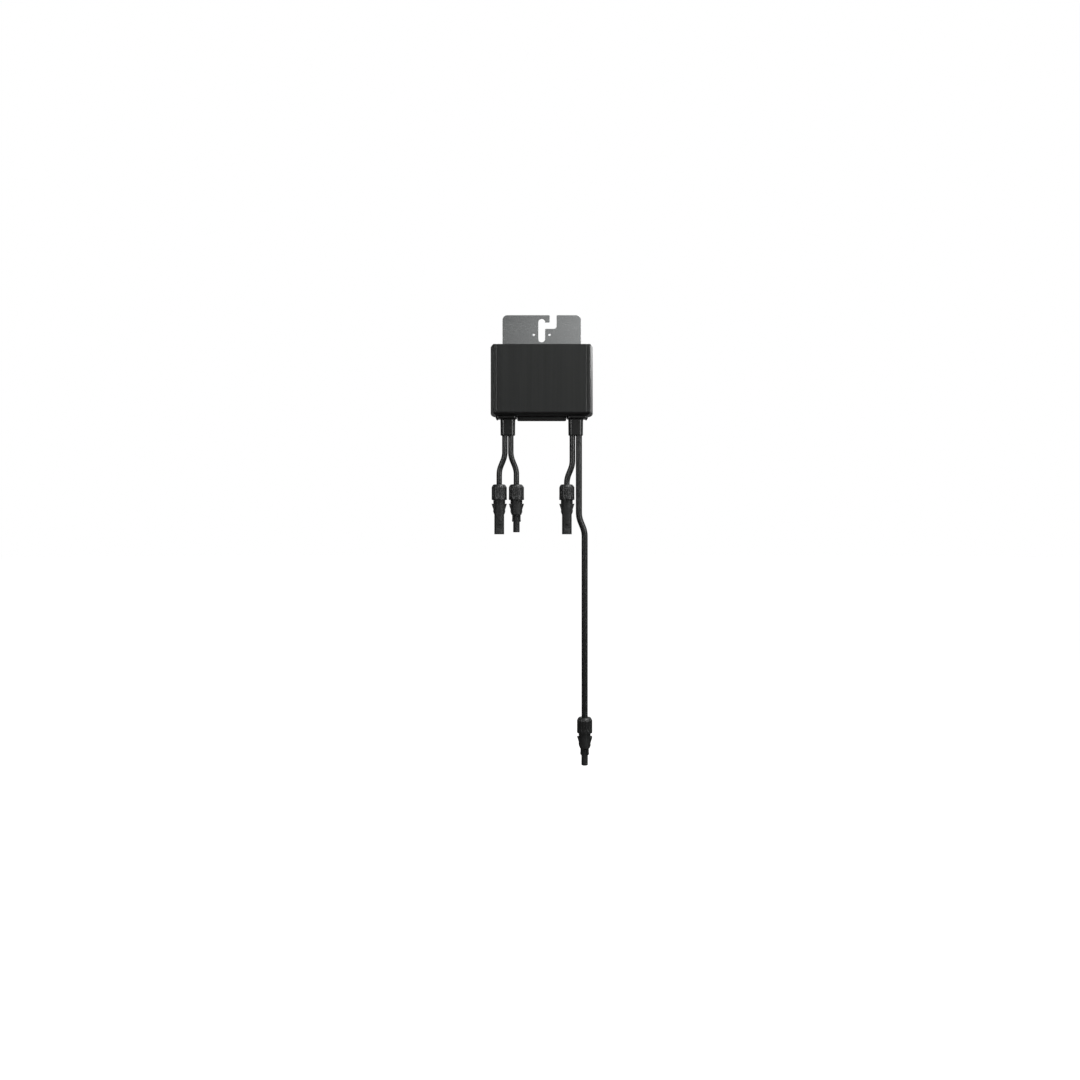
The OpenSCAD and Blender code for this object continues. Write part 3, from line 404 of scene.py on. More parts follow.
def quarter(steps):
    """Angles from zero to a right angle in equal steps."""
    return [math.pi / 2 * k / steps for k in range(steps + 1)]


def arc(cx, cy, radius, start, sweep, steps=10):
    """Points of an arc, angles in degrees."""
    angles = [math.radians(start + sweep * k / steps) for k in range(steps + 1)]
    return [Vector((cx + radius * math.cos(a), cy + radius * math.sin(a))) for a in angles]


def round_hole(cx, cy, radius, sides=32):
    """Points of a round hole's outline, clockwise."""
    return arc(cx, cy, radius, 0, 360 / sides - 360, sides - 1)


def rounded_outline(corners, inset, steps):
    """Counter-clockwise points of a convex outline moved inwards, from (x, y, radius) corners."""
    count = len(corners)
    at = [Vector(c[:2]) for c in corners]
    moved = []
    for i, p in enumerate(at):
        before = (p - at[i - 1]).normalized()
        after = (at[(i + 1) % count] - p).normalized()
        inward = [Vector((-d.y, d.x)) for d in (before, after)]
        moved.append(p + inset * (inward[0] + inward[1]) / (1 + inward[0].dot(inward[1])))
    points = []
    for i, p in enumerate(moved):
        radius = max(corners[i][2] - inset, LEAST_RADIUS)
        a = (moved[i - 1] - p).normalized()
        b = (moved[(i + 1) % count] - p).normalized()
        half = math.acos(max(-1.0, min(1.0, a.dot(b)))) / 2
        centre = p + (a + b).normalized() * radius / math.sin(half)
        first = p + a * radius / math.tan(half) - centre
        start, sweep = math.atan2(first.y, first.x), math.pi - 2 * half
        for k in range(steps + 1):
            angle = start + sweep * k / steps
            points.append(centre + radius * Vector((math.cos(angle), math.sin(angle))))
    return points


def rounded_ring(half_width, half_depth, radius, steps=8):
    """Points of a rounded rectangle about the origin, counter-clockwise."""
    radius = min(radius, half_width, half_depth)
    points = []
    for turn, (sx, sy) in enumerate(((1, -1), (1, 1), (-1, 1), (-1, -1))):
        centre = Vector((sx * (half_width - radius), sy * (half_depth - radius)))
        for k in range(steps + 1):
            angle = math.pi / 2 * (turn - 1 + k / steps)
            points.append(centre + radius * Vector((math.cos(angle), math.sin(angle))))
    return points


def add_loft(mesh, rings):
    """Skin over rings of equal count, from the highest to the lowest, closed at both ends."""
    rows = [[mesh.verts.new(p) for p in ring] for ring in rings]
    count = len(rows[0])
    mesh.faces.new(rows[0])
    for upper, lower in zip(rows, rows[1:]):
        for i in range(count):
            j = (i + 1) % count
            mesh.faces.new((upper[i], lower[i], lower[j], upper[j]))
    mesh.faces.new(list(reversed(rows[-1])))


def turned(profile, sides):
    """A bmesh turned about Z from points of (radius, depth below the origin), from the top down."""
    mesh = bmesh.new()
    angles = [2 * math.pi * k / sides for k in range(sides)]
    rows = []
    for radius, depth in profile:
        # A point on the axis gives one vertex, and any other a ring of them.
        around = angles if radius > 0 else angles[:1]
        rows.append([
            mesh.verts.new((radius * math.cos(a), radius * math.sin(a), -depth)) for a in around
        ])
    for upper, lower in zip(rows, rows[1:]):
        for i in range(sides):
            j = (i + 1) % sides
            corners = ((upper, i), (lower, i), (lower, j), (upper, j))
            # On the axis two of the corners are the same vertex.
            mesh.faces.new(list(dict.fromkeys(row[k % len(row)] for row, k in corners)))
    # A section that ends where it starts has its seam closed.
    bmesh.ops.remove_doubles(mesh, verts=mesh.verts, dist=WELD)
    return mesh


def evaluated_mesh(piece):
    """A plain mesh of what a piece's modifiers or curve settings give."""
    bpy.context.view_layer.update()
    graph = bpy.context.evaluated_depsgraph_get()
    return bpy.data.meshes.new_from_object(piece.evaluated_get(graph), depsgraph=graph)


def plate_mesh(outlines, thickness, edge):
    """A bmesh of a flat plate about z = 0 with rounded edges, from its outline and its holes."""
    curve = bpy.data.curves.new("plate outline", "CURVE")
    curve.dimensions, curve.fill_mode = "2D", "BOTH"
    curve.extrude, curve.bevel_depth = thickness / 2 - edge, edge
    curve.bevel_resolution, curve.offset = 2, -edge
    for outline in outlines:
        spline = curve.splines.new("POLY")
        spline.points.add(len(outline) - 1)
        spline.points.foreach_set("co", [x for p in outline for x in (p[0], p[1], 0, 1)])
        spline.use_cyclic_u = True
    carrier = bpy.data.objects.new("plate outline", curve)
    bpy.context.scene.collection.objects.link(carrier)
    data = evaluated_mesh(carrier)
    bpy.data.objects.remove(carrier)
    mesh = bmesh.new()
    mesh.from_mesh(data)
    bpy.data.meshes.remove(data)
    bmesh.ops.remove_doubles(mesh, verts=mesh.verts, dist=WELD)
    bmesh.ops.recalc_face_normals(mesh, faces=mesh.faces)
    return mesh


def softened_copy(node, edge):
    """A bmesh of a CAD node with its flat faces joined and its hard edges rounded."""
    mesh = bmesh.new()
    mesh.from_mesh(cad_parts[node].data)
    bmesh.ops.remove_doubles(mesh, verts=mesh.verts, dist=CAD_WELD)
    bmesh.ops.dissolve_limit(mesh, angle_limit=FLAT_ANGLE, verts=mesh.verts, edges=mesh.edges)
    hard = [
        e for e in mesh.edges if len(e.link_faces) == 2 and e.calc_face_angle() > HARD_ANGLE
    ]
    bmesh.ops.bevel(
        mesh, geom=hard, offset=edge, segments=2, profile=0.5, affect="EDGES", clamp_overlap=True
    )
    return mesh


def mesh_object(name, mesh):
    """Turns a bmesh into a linked object, and frees it."""
    data = bpy.data.meshes.new(name)
    mesh.to_mesh(data)
    mesh.free()
    thing = bpy.data.objects.new(name, data)
    bpy.context.scene.collection.objects.link(thing)
    return thing


def apply_modifiers(piece):
    """Keeps the plain mesh that a piece's modifiers give."""
    data = evaluated_mesh(piece)
    piece.modifiers.clear()
    piece.data = data


def settle(piece, material, slot, *nodes):
    """Gives a linked piece its finish and smooth shading, and ties it to the frame."""
    piece.data.materials.clear()
    piece.data.materials.append(material)
    if piece.type == "MESH":
        piece.data.shade_smooth()
        piece.data.set_sharp_from_angle(angle=SMOOTH_ANGLE)
        # Weighted normals keep large faces flat and let only the rounded edges shade smoothly.
        piece.modifiers.new("weighted normals", "WEIGHTED_NORMAL").keep_sharp = True
        apply_modifiers(piece)
    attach(piece, BODY)
    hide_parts(*nodes)


def add_piece(name, mesh, material, slot, *nodes):
    """Turns a bmesh into a piece that rides on the body and stands for CAD nodes."""
    bmesh.ops.remove_doubles(mesh, verts=mesh.verts, dist=WELD)
    settle(mesh_object(name, mesh), material, slot, *nodes)


def paint(material, *nodes):
    """Gives CAD nodes that keep their own shape a better finish."""
    for node in nodes:
        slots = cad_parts[node].data.materials
        slots.clear()
        slots.append(material)


def open_tree(name, inputs):
    """A new geometry tree with named inputs besides its geometry and finish, and their sockets."""
    tree = bpy.data.node_groups.new(name, "GeometryNodeTree")
    for label, kind in {"Geometry": "Geometry", **inputs, "Finish": "Material"}.items():
        tree.interface.new_socket(label, in_out="INPUT", socket_type="NodeSocket" + kind)
    tree.interface.new_socket("Geometry", in_out="OUTPUT", socket_type="NodeSocketGeometry")
    return tree, add_node(tree, "NodeGroupInput")


def close_tree(tree, geometry, finish):
    """Ends a tree in Realize Instances and Set Material."""
    real = add_node(tree, "GeometryNodeRealizeInstances", {"Geometry": geometry})["Geometry"]
    finished = add_node(
        tree, "GeometryNodeSetMaterial", {"Geometry": real, "Material": finish}
    )["Geometry"]
    add_node(tree, "NodeGroupOutput", {"Geometry": finished})


def run_tree(piece, tree, values):
    """Runs a tree on a piece with named inputs, and keeps the plain mesh that it gives."""
    modifier = piece.modifiers.new("tree", "NODES")
    modifier.node_group = tree
    for item in tree.interface.items_tree:
        if item.in_out == "INPUT" and item.name in values:
            modifier[item.identifier] = values[item.name]
    apply_modifiers(piece)


def sleeve_corners():
    """Corners of the sleeve's outline from above, counter-clockwise from the front right one."""
    size = bpy.context.scene.optimizer_housing
    low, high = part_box("housing_sleeve")
    front, side, widest = size.front_width / 2, high.x, low.y + size.taper
    return [
        (front, low.y, size.front_radius),
        (side, widest, size.shoulder_radius),
        (side, high.y, size.back_radius),
        (-side, high.y, size.back_radius),
        (-side, widest, size.shoulder_radius),
        (-front, low.y, size.front_radius),
    ]


def nut_place(lead):
    """Axis of a coupling seen from above, its nut's radius, and the heights of the nut's ends."""
    low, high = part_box(lead + "_nut")
    return (low.x + high.x) / 2, (low.y + high.y) / 2, (high.x - low.x) / 2, low.z, high.z


# Height of the leads' inner ends above the boots' mouths, and the points' spacing on straight runs,
# in millimetres.
LEAD_TOP, LEAD_STEP = 28, 8
# Radius of the bends in diameters, the turn of each half of a bend, and the steps in that turn.
BEND_SHARE, BEND_TURN, BEND_STEPS = 4.2, math.radians(22), 12


def lead_route(start, end, depth, diameter, reach):
    """Points of a lead as (across, up) in millimetres from its boot's mouth.

    An S-shaped bend, with its middle at the given depth, joins two straight runs."""
    side, radius = math.copysign(1, end - start), BEND_SHARE * diameter
    run = (abs(end - start) - 2 * radius * (1 - math.cos(BEND_TURN))) / math.sin(BEND_TURN)
    half = radius * math.sin(BEND_TURN) + run / 2 * math.cos(BEND_TURN)
    turns = [BEND_TURN * k / BEND_STEPS for k in range(BEND_STEPS + 1)]
    half_bend = [(side * radius * (1 - math.cos(a)), half - radius * math.sin(a)) for a in turns]
    bend = [(start + x, z - depth) for x, z in half_bend]
    bend += [(end - x, -z - depth) for x, z in reversed(half_bend)]

    def straight(x, top, bottom):
        count = max(1, round((top - bottom) / LEAD_STEP))
        return [(x, top + (bottom - top) * k / count) for k in range(count + 1)]

    above = straight(start, LEAD_TOP, 0) + straight(start, 0, bend[0][1])[1:]
    return above + bend[1:-1] + straight(end, bend[-1][1], -reach)


# Each lead: its side of the housing, diameter and whole length in millimetres, and its route.
LEADS = {
    "input_left": (-1, 7.0, 109.1, lead_route(-3.75, -10.8, 34.7, 7.0, 80)),
    "input_right": (-1, 7.0, 109.1, lead_route(3.75, 10.8, 34.7, 7.0, 80)),
    "output_short": (1, 7.3, 109.1, lead_route(-4.1, -11.1, 45.7, 7.3, 80)),
    "output_long": (1, 7.8, 402.1, lead_route(4.1, 11.3, 111.8, 7.8, 373)),
}

# The floor is a disc of this radius with this many sides.
FLOOR_RADIUS, FLOOR_SIDES = 40, 96
# Glow of the floor where it is seen, which lifts it to white.
FLOOR_LIFT = 0.88
# A card's level changes from its left one to its right one this far either side of its middle.
CARD_GRADE = 0.25


class OPTIMIZER_OT_stage(bpy.types.Operator):
    """Builds the floor, the light and the camera."""

    bl_idname = "optimizer.stage"
    bl_label = "Stage"

    def execute(self, context):
        scene = context.scene
        stage = scene.optimizer_stage
        scene.view_settings.view_transform = "Standard"
        self.add_camera(scene, stage)
        self.add_world(scene, stage)
        self.add_floor(stage)
        self.add_lights(scene, stage)
        self.add_cards()
        return {"FINISHED"}

    def add_camera(self, scene, stage):
        # A level camera in front of the middle of the whole part, as in a catalogue picture.
        data = bpy.data.cameras.new("camera")
        data.sensor_fit, data.sensor_width, data.lens = "HORIZONTAL", 36, stage.lens
        camera = bpy.data.objects.new("camera", data)
        camera.location = stage.camera_place
        camera.rotation_euler = (math.pi / 2, 0, 0)
        scene.collection.objects.link(camera)
        scene.camera = camera

    def add_world(self, scene, stage):
        # Even light from all round, and plain white where the background is looked at.
        scene.world = bpy.data.worlds.new("even studio")
        tree = fresh_tree(scene.world)
        even, white = (
            add_node(tree, "ShaderNodeBackground", {"Color": (1, 1, 1, 1), "Strength": level})[0]
            for level in (stage.fill, 1.0)
        )
        both = add_node(tree, "ShaderNodeMixShader", {0: seen_rays(tree), 1: even, 2: white})[0]
        add_node(tree, "ShaderNodeOutputWorld", {"Surface": both})

    def add_floor(self, stage):
        # A matt white floor, which keeps the part's soft shadow; where it is seen it is lifted.
        material = bpy.data.materials.new("white floor")
        tree = fresh_tree(material)
        lift = add_node(
            tree, "ShaderNodeMath", {0: seen_rays(tree), 1: FLOOR_LIFT}, operation="MULTIPLY"
        )[0]
        matt = add_node(tree, "ShaderNodeBsdfDiffuse", {"Color": (*linear("#f2f2f0"), 1)})[0]
        glow = add_node(tree, "ShaderNodeEmission", {"Color": (1, 1, 1, 1), "Strength": lift})[0]
        both = add_node(tree, "ShaderNodeAddShader", {0: matt, 1: glow})[0]
        add_node(tree, "ShaderNodeOutputMaterial", {"Surface": both})
        mesh = bmesh.new()
        bmesh.ops.create_circle(
            mesh, cap_ends=True, segments=FLOOR_SIDES, radius=FLOOR_RADIUS,
            matrix=Matrix.Translation((0, 0, CAD_BOX[0][2] - stage.floor_drop)),
        )
        floor = mesh_object("floor", mesh)
        floor.data.materials.append(material)

    def add_lights(self, scene, stage):
        # A large softbox above on the right and a lamp behind on the right, aimed at the housing.
        aim = Vector((0, -0.015, -0.12))
        lights = (
            ("key softbox", stage.key_power, (0.8, -0.75, 1.4), (1.0, 1.0)),
            ("back lamp", stage.back_power, (0.72, 1.4, 0.5), (0.5, 0.5)),
        )
        for name, power, place, (width, height) in lights:
            data = bpy.data.lights.new(name, "AREA")
            data.shape, data.size, data.size_y, data.energy = "RECTANGLE", width, height, power
            light = bpy.data.objects.new(name, data)
            light.location = place
            light.rotation_euler = (aim - Vector(place)).to_track_quat("-Z", "Y").to_euler()
            light.visible_camera = False
            scene.collection.objects.link(light)

    def add_cards(self):
        # Cards that only mirrored rays meet. The grey ones are the dark room round a studio table,
        # open above the front and at the back right. The two bright strips give the rounded edges
        # and the leads their narrow lights. Each card: its levels at the left and at the right, its
        # place, the way it faces, and its width and height.
        cards = (
            ("front card", (0.05, 0.82), (0, -2.0, 0.52), (0, 1, 0), (4.4, 1.76)),
            ("low front card", (0.04, 0.1), (0, -2.0, -0.88), (0, 1, 0), (4.4, 1.04)),
            ("left card", (0.12, 0.12), (-2.2, -0.3, 0.0), (1, 0, 0), (3.4, 2.8)),
            ("right card", (0.25, 0.25), (2.2, -0.3, 0.0), (-1, 0, 0), (3.4, 2.8)),
            ("ceiling card", (0.15, 0.15), (-0.9, 0.3, 1.4), (0, 0, -1), (2.6, 2.4)),
            ("back left card", (0.2, 0.2), (-1.25, 1.5, 0.0), (0, -1, 0), (1.9, 2.8)),
            ("back low card", (0.2, 0.2), (0.95, 1.5, -0.65), (0, -1, 0), (2.5, 1.5)),
            ("table card", (0.08, 0.08), (0, -0.1, -0.8), (0, 0, 1), (4.2, 3.7)),
            ("left strip", (11, 11), (-0.9, -1.2, 0.25), (0.6, 0.8, 0), (0.3, 0.8)),
            ("right strip", (13, 13), (1.1, -1.0, 0.25), (-0.74, 0.67, 0), (0.35, 0.8)),
        )
        for name, (left, right), place, facing, (width, height) in cards:
            material = bpy.data.materials.new(name)
            tree = fresh_tree(material)
            spot = add_node(tree, "ShaderNodeTexCoord")["Object"]
            across = add_node(tree, "ShaderNodeSeparateXYZ", {0: spot})["X"]
            level = add_node(tree, "ShaderNodeMapRange", {
                "Value": across, "From Min": -CARD_GRADE, "From Max": CARD_GRADE,
                "To Min": left, "To Max": right,
            })["Result"]
            glow = add_node(tree, "ShaderNodeEmission", {"Strength": level})[0]
            add_node(tree, "ShaderNodeOutputMaterial", {"Surface": glow})
            mesh = bmesh.new()
            turn = Vector(facing).to_track_quat("Z", "Y").to_matrix().to_4x4()
            size = Matrix.Diagonal((width, height, 1, 1))
            bmesh.ops.create_grid(
                mesh, x_segments=1, y_segments=1, size=0.5, matrix=turn @ size
            )
            card = mesh_object(name, mesh)
            card.data.materials.append(material)
            card.location = place
            for ray in ("camera", "diffuse", "shadow", "transmission"):
                setattr(card, "visible_" + ray, False)


# The two small holes beside the slot: their distance from the middle, their drop and their radius.
PILOT_OFFSET, PILOT_DROP, PILOT_RADIUS = 10.1 * MM, 16.2 * MM, 1.5 * MM
# Radius of the holes round the rivets' heads, and the rivets' largest radius.
HEAD_HOLE, RIVET_RADIUS = 3.05 * MM, 3 * MM
# Section of a rivet in millimetres: radius, and distance from the bracket's back face.
RIVET_SECTION = (
    (0, 0.12), (1.1, 0.1), (2.6, 0.05), (2.95, 0.2), (1.65, 2.0), (1.65, 4.0), (2.4, 4.2),
    (2.2, 5.2), (1.2, 5.4), (0, 5.4),
)


class OPTIMIZER_OT_bracket(bpy.types.Operator):
    """Builds the bracket sheet with its hook slot, and the rivets in it."""

    bl_idname = "optimizer.bracket"
    bl_label = "Bracket"

    def execute(self, context):
        size = context.scene.optimizer_housing
        low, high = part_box("bracket")
        rivet_low, rivet_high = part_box("bracket_rivets")
        columns = (rivet_low.x + RIVET_RADIUS, rivet_high.x - RIVET_RADIUS)
        rows = (rivet_low.z + RIVET_RADIUS, rivet_high.z - RIVET_RADIUS)
        holes = [round_hole(x, -PILOT_DROP, PILOT_RADIUS) for x in (-PILOT_OFFSET, PILOT_OFFSET)]
        holes += [round_hole(x, z, HEAD_HOLE) for x in columns for z in rows]
        outline = self.outline(size, low, high)
        mesh = plate_mesh([outline, *holes], high.y - low.y, size.cut_edge)
        middle = Matrix.Translation((0, (low.y + high.y) / 2, 0))
        upright = middle @ Matrix.Rotation(math.pi / 2, 4, "X")
        bmesh.ops.transform(mesh, matrix=upright, verts=mesh.verts)
        add_piece("bracket_sheet", mesh, bracket_finish(), "bracket_steel", "bracket")
        self.add_rivets(columns, rows)
        return {"FINISHED"}

    def outline(self, size, low, high):
        """The sheet's outline with the slot open to its top edge, counter-clockwise."""
        half, drop = size.slot_width / 2, size.slot_drop
        # Radii of the sheet's corners, the slot's outer corners and the passage's inner corner.
        corner, edge, inner = 6.3 * MM, 1.2 * MM, 3.5 * MM
        # The entry's two sides, the hook's lower edge and the passage's floor.
        left, right = 10.2 * MM, 18.9 * MM
        hook = -0.4 * MM
        floor = hook - size.slot_width
        points = arc(low.x + corner, low.z + corner, corner, 180, 90)
        points += arc(high.x - corner, low.z + corner, corner, 270, 90)
        points += arc(high.x - corner, high.z - corner, corner, 0, 90)
        points += arc(right + edge, high.z - edge, edge, 90, 90, 5)
        points += arc(right - inner, floor + inner, inner, 0, -90)
        points += arc(half + edge, floor - edge, edge, 90, 90, 5)
        points += arc(0, -drop, half, 0, -180, 20)
        points += arc(0, 0, half, 180, -180 - math.degrees(math.asin(-hook / half)), 20)
        points += arc(left - edge, hook + edge, edge, -90, 90, 5)
        points += arc(left - edge, high.z - edge, edge, 0, 90, 5)
        points += arc(low.x + corner, high.z - corner, corner, 90, 90)
        return points

    def add_rivets(self, columns, rows):
        # One countersunk rivet is turned from its section; a tree sets it at the four holes.
        mesh = turned([(r * MM, depth * MM) for r, depth in RIVET_SECTION], sides=40)
        bmesh.ops.transform(
            mesh, matrix=Matrix.Rotation(-math.pi / 2, 4, "X"), verts=mesh.verts
        )
        piece = mesh_object("rivets", mesh)
        tree, given = open_tree(
            "rivets at four holes", {"Columns": "Float", "Rows": "Float", "Place": "Vector"}
        )
        grid = add_node(tree, "GeometryNodeMeshGrid", {
            "Size X": given["Columns"], "Size Y": given["Rows"], "Vertices X": 2, "Vertices Y": 2,
        })["Mesh"]
        stood = add_node(tree, "GeometryNodeTransform", {
            "Geometry": grid, "Translation": given["Place"], "Rotation": (math.pi / 2, 0, 0),
        })["Geometry"]
        set_in = add_node(
            tree, "GeometryNodeInstanceOnPoints", {"Points": stood, "Instance": given["Geometry"]}
        )["Instances"]
        close_tree(tree, set_in, given["Finish"])
        run_tree(piece, tree, {
            "Columns": columns[1] - columns[0],
            "Rows": rows[1] - rows[0],
            "Place": ((columns[0] + columns[1]) / 2, 0, (rows[0] + rows[1]) / 2),
            "Finish": rivet_finish(),
        })
        settle(piece, rivet_finish(), "rivet_steel", "bracket_rivets")


class OPTIMIZER_OT_sleeve(bpy.types.Operator):
    """Builds the extruded sleeve with its two front grooves."""

    bl_idname = "optimizer.sleeve"
    bl_label = "Sleeve"

    def execute(self, context):
        size = context.scene.optimizer_housing
        low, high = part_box("housing_sleeve")
        corners = sleeve_corners()
        outer = rounded_outline(corners, 0, OUTER_STEPS)
        inner = rounded_outline(corners, size.wall, INNER_STEPS)
        # Each groove is an arc through its two edges and its deepest point.
        depth, half = size.groove_depth, size.groove_width / 2
        radius = (half * half + depth * depth) / (2 * depth)
        sweep = 2 * math.degrees(math.asin(half / radius))
        centre = size.front_width / 2 - size.groove_inset
        # The outline's last corner ends on the front's left, so the grooves follow it rightwards.
        for x in (-centre, centre):
            outer += arc(x, low.y + depth - radius, radius, 90 + sweep / 2, -sweep)
        mesh = plate_mesh([outer, list(reversed(inner))], high.z - low.z, size.cut_edge)
        bmesh.ops.translate(mesh, vec=(0, 0, (low.z + high.z) / 2), verts=mesh.verts)
        add_piece("sleeve", mesh, sleeve_finish(), "black_anodised_aluminium", "housing_sleeve")
        return {"FINISHED"}


# How far the rim stands back from the sleeve's outline.
RIM_STEP = 0.15 * MM
# Distance of the lip's ends from the boots' axes, its corners' radius, the smallest radius of its
# inner corners, the rounding of its outer and inner lower edges, and the roof over its hollow.
LIP_MARGIN, LIP_CORNER, LIP_INNER_CORNER = 11.7 * MM, 1.2 * MM, 0.5 * MM
LIP_EDGE, LIP_INNER_EDGE, LIP_ROOF = 1.5 * MM, 0.4 * MM, 1 * MM
# How far a part reaches into the one above it, so that the two are joined.
OVERLAP = 1 * MM


class OPTIMIZER_OT_caps(bpy.types.Operator):
    """Builds the bottom cap and finishes the top cap and both seals."""

    bl_idname = "optimizer.caps"
    bl_label = "End caps"

    def execute(self, context):
        size = context.scene.optimizer_housing
        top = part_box("housing_sleeve")[0].z
        corners = sleeve_corners()
        mesh = bmesh.new()
        rings = []
        for angle in quarter(12):
            inset = RIM_STEP + size.rim_round * (1 - math.cos(angle))
            z = top - size.rim_height * math.sin(angle)
            rings.append([(p.x, p.y, z) for p in rounded_outline(corners, inset, OUTER_STEPS)])
        add_loft(mesh, rings)
        self.add_lip(mesh, size, top - size.rim_height)
        add_piece("bottom_cap_moulding", mesh, cap_finish(), "cap_plastic", "bottom_cap")
        paint(cap_finish(), "top_cap")
        paint(seal_finish(), "top_seal", "bottom_seal")
        return {"FINISHED"}

    def add_lip(self, mesh, size, top):
        """The bowed lip between the boots, hollow from below."""
        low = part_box("bottom_cap")[0]
        half, depth = size.boot_offset - LIP_MARGIN, size.lip_depth / 2
        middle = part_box("housing_sleeve")[0].y + size.lip_setback + depth

        def ring(inset, rise, level=None):
            """A ring at a rise above the bowed lower edge, or at one level."""
            corner = max(LIP_CORNER - inset, LIP_INNER_CORNER)
            points = rounded_ring(half - inset, depth - inset, corner)
            bottoms = [low.z + size.lip_bow * (p.x / half) ** 2 for p in points]
            return [
                (p.x, p.y + middle, b + rise if level is None else level)
                for p, b in zip(points, bottoms)
            ]

        wall = size.lip_wall
        # The edge's rounding passes through this share of it, inwards and upwards.
        bulge = 0.27 * LIP_EDGE
        add_loft(mesh, [
            ring(0, 0, top + OVERLAP), ring(0, LIP_EDGE), ring(bulge, bulge), ring(LIP_EDGE, 0),
            ring(wall - LIP_INNER_EDGE, 0), ring(wall, LIP_INNER_EDGE),
            ring(wall, 0, top - LIP_ROOF),
        ])


# A boot's flange: the radius of its corners and of its lower edge.
FLANGE_CORNER, FLANGE_EDGE = 4 * MM, 1 * MM
# Radius of the fillet under the flange, and of the edge round the mouth.
NECK_FILLET, MOUTH_EDGE = 1.6 * MM, 0.8 * MM
# The recess in the mouth: how far each ring lies inside the mouth, and its height above it.
MOUTH_RECESS = [(1.1 * MM, 0.1 * MM), (1.2 * MM, 1 * MM)]
# The catch under a flange: its distance from the flange's end, half its depth, and its roundings.
CATCH_MARGIN, CATCH_HALF_DEPTH = 1 * MM, 4 * MM
CATCH_CORNER, CATCH_EDGE = 0.5 * MM, 0.3 * MM


class OPTIMIZER_OT_boots(bpy.types.Operator):
    """Builds the two rubber cable boots."""

    bl_idname = "optimizer.boots"
    bl_label = "Cable boots"

    def execute(self, context):
        size = context.scene.optimizer_housing
        for node in ("input_boot", "output_boot"):
            mesh = bmesh.new()
            add_loft(mesh, self.rings(node, size))
            add_loft(mesh, self.catch_rings(node, size))
            add_piece(node + "_rubber", mesh, boot_finish(), "boot_rubber", node)
        return {"FINISHED"}

    def catch_rings(self, node, size):
        """Rings of the small catch under the outer end of a boot's flange."""
        low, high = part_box(node)
        half = size.catch_width / 2
        x = high.x - CATCH_MARGIN - half if low.x > 0 else low.x + CATCH_MARGIN + half
        y = (low.y + high.y) / 2
        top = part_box("housing_sleeve")[0].z - size.rim_height - size.flange_thickness
        foot = top - size.catch_height
        rings = []
        for inset, z in ((0, top + OVERLAP), (0, foot + CATCH_EDGE), (CATCH_EDGE, foot)):
            ring = rounded_ring(
                half - inset, CATCH_HALF_DEPTH - inset, CATCH_CORNER - inset, steps=3
            )
            rings.append([(x + p.x, y + p.y, z) for p in ring])
        return rings

    def rings(self, node, size):
        """Rings of a boot from its flange down to its recessed mouth."""
        low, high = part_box(node)
        side = 1 if low.x > 0 else -1
        flange_x, flange_half = (low.x + high.x) / 2, (high.x - low.x) / 2
        y, flange_depth = (low.y + high.y) / 2, (high.y - low.y) / 2
        axis = side * size.boot_offset
        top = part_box("housing_sleeve")[0].z - size.rim_height
        under = top - size.flange_thickness
        neck = (size.neck_width / 2, size.neck_depth / 2)
        mouth = (neck[0] - size.neck_draft / 2, neck[1] - size.neck_draft / 2)
        # Each row: the ring's middle, half its width, half its depth, its radius and its height.
        rows = [(flange_x, flange_half, flange_depth, FLANGE_CORNER, top)]
        for angle in quarter(4):
            inset = FLANGE_EDGE * (1 - math.cos(angle))
            z = under + FLANGE_EDGE * (1 - math.sin(angle))
            rows.append(
                (flange_x, flange_half - inset, flange_depth - inset, FLANGE_CORNER - inset, z)
            )
        for angle in quarter(5):
            grow = NECK_FILLET * (1 - math.sin(angle))
            z = under - NECK_FILLET * (1 - math.cos(angle))
            rows.append((axis, neck[0] + grow, neck[1] + grow, neck[1] + grow, z))
        hem = [
            (MOUTH_EDGE * (1 - math.cos(a)), MOUTH_EDGE * (1 - math.sin(a))) for a in quarter(4)
        ]
        for inset, rise in hem + MOUTH_RECESS:
            across, deep = mouth[0] - inset, mouth[1] - inset
            rows.append((axis, across, deep, deep, low.z + rise))
        return [
            [(x + p.x, y + p.y, z) for p in rounded_ring(w, d, r, steps=10)]
            for x, w, d, r, z in rows
        ]


# A nut's inside: the room round the lead, the length of that hole, and the hole for the stub.
LEAD_ROOM, LEAD_HOLE = 0.2 * MM, 3 * MM
STUB_RADIUS, STUB_DEPTH = 6.75 * MM, 8 * MM
# A nut's small edges, and the rounding over its shoulder's upper edge in millimetres: how far
# outside that edge each point lies, and its depth.
NUT_EDGE = 0.3 * MM
NUT_BROW = ((-0.9, 0), (-0.3, 0.1), (0.15, 0.5))
# Steps down the shoulder and down the wall, and points round a nut for each flute.
SHOULDER_STEPS, WALL_STEPS, FLUTE_POINTS = 5, 14, 12
# Height over which the flutes run out, the share of the radius that they begin at, and the level
# of the wave round the nut above which they are hollowed.
FLUTE_RUN_OUT, FLUTE_START, FLUTE_LEVEL = 0.5 * MM, 0.9, -0.2


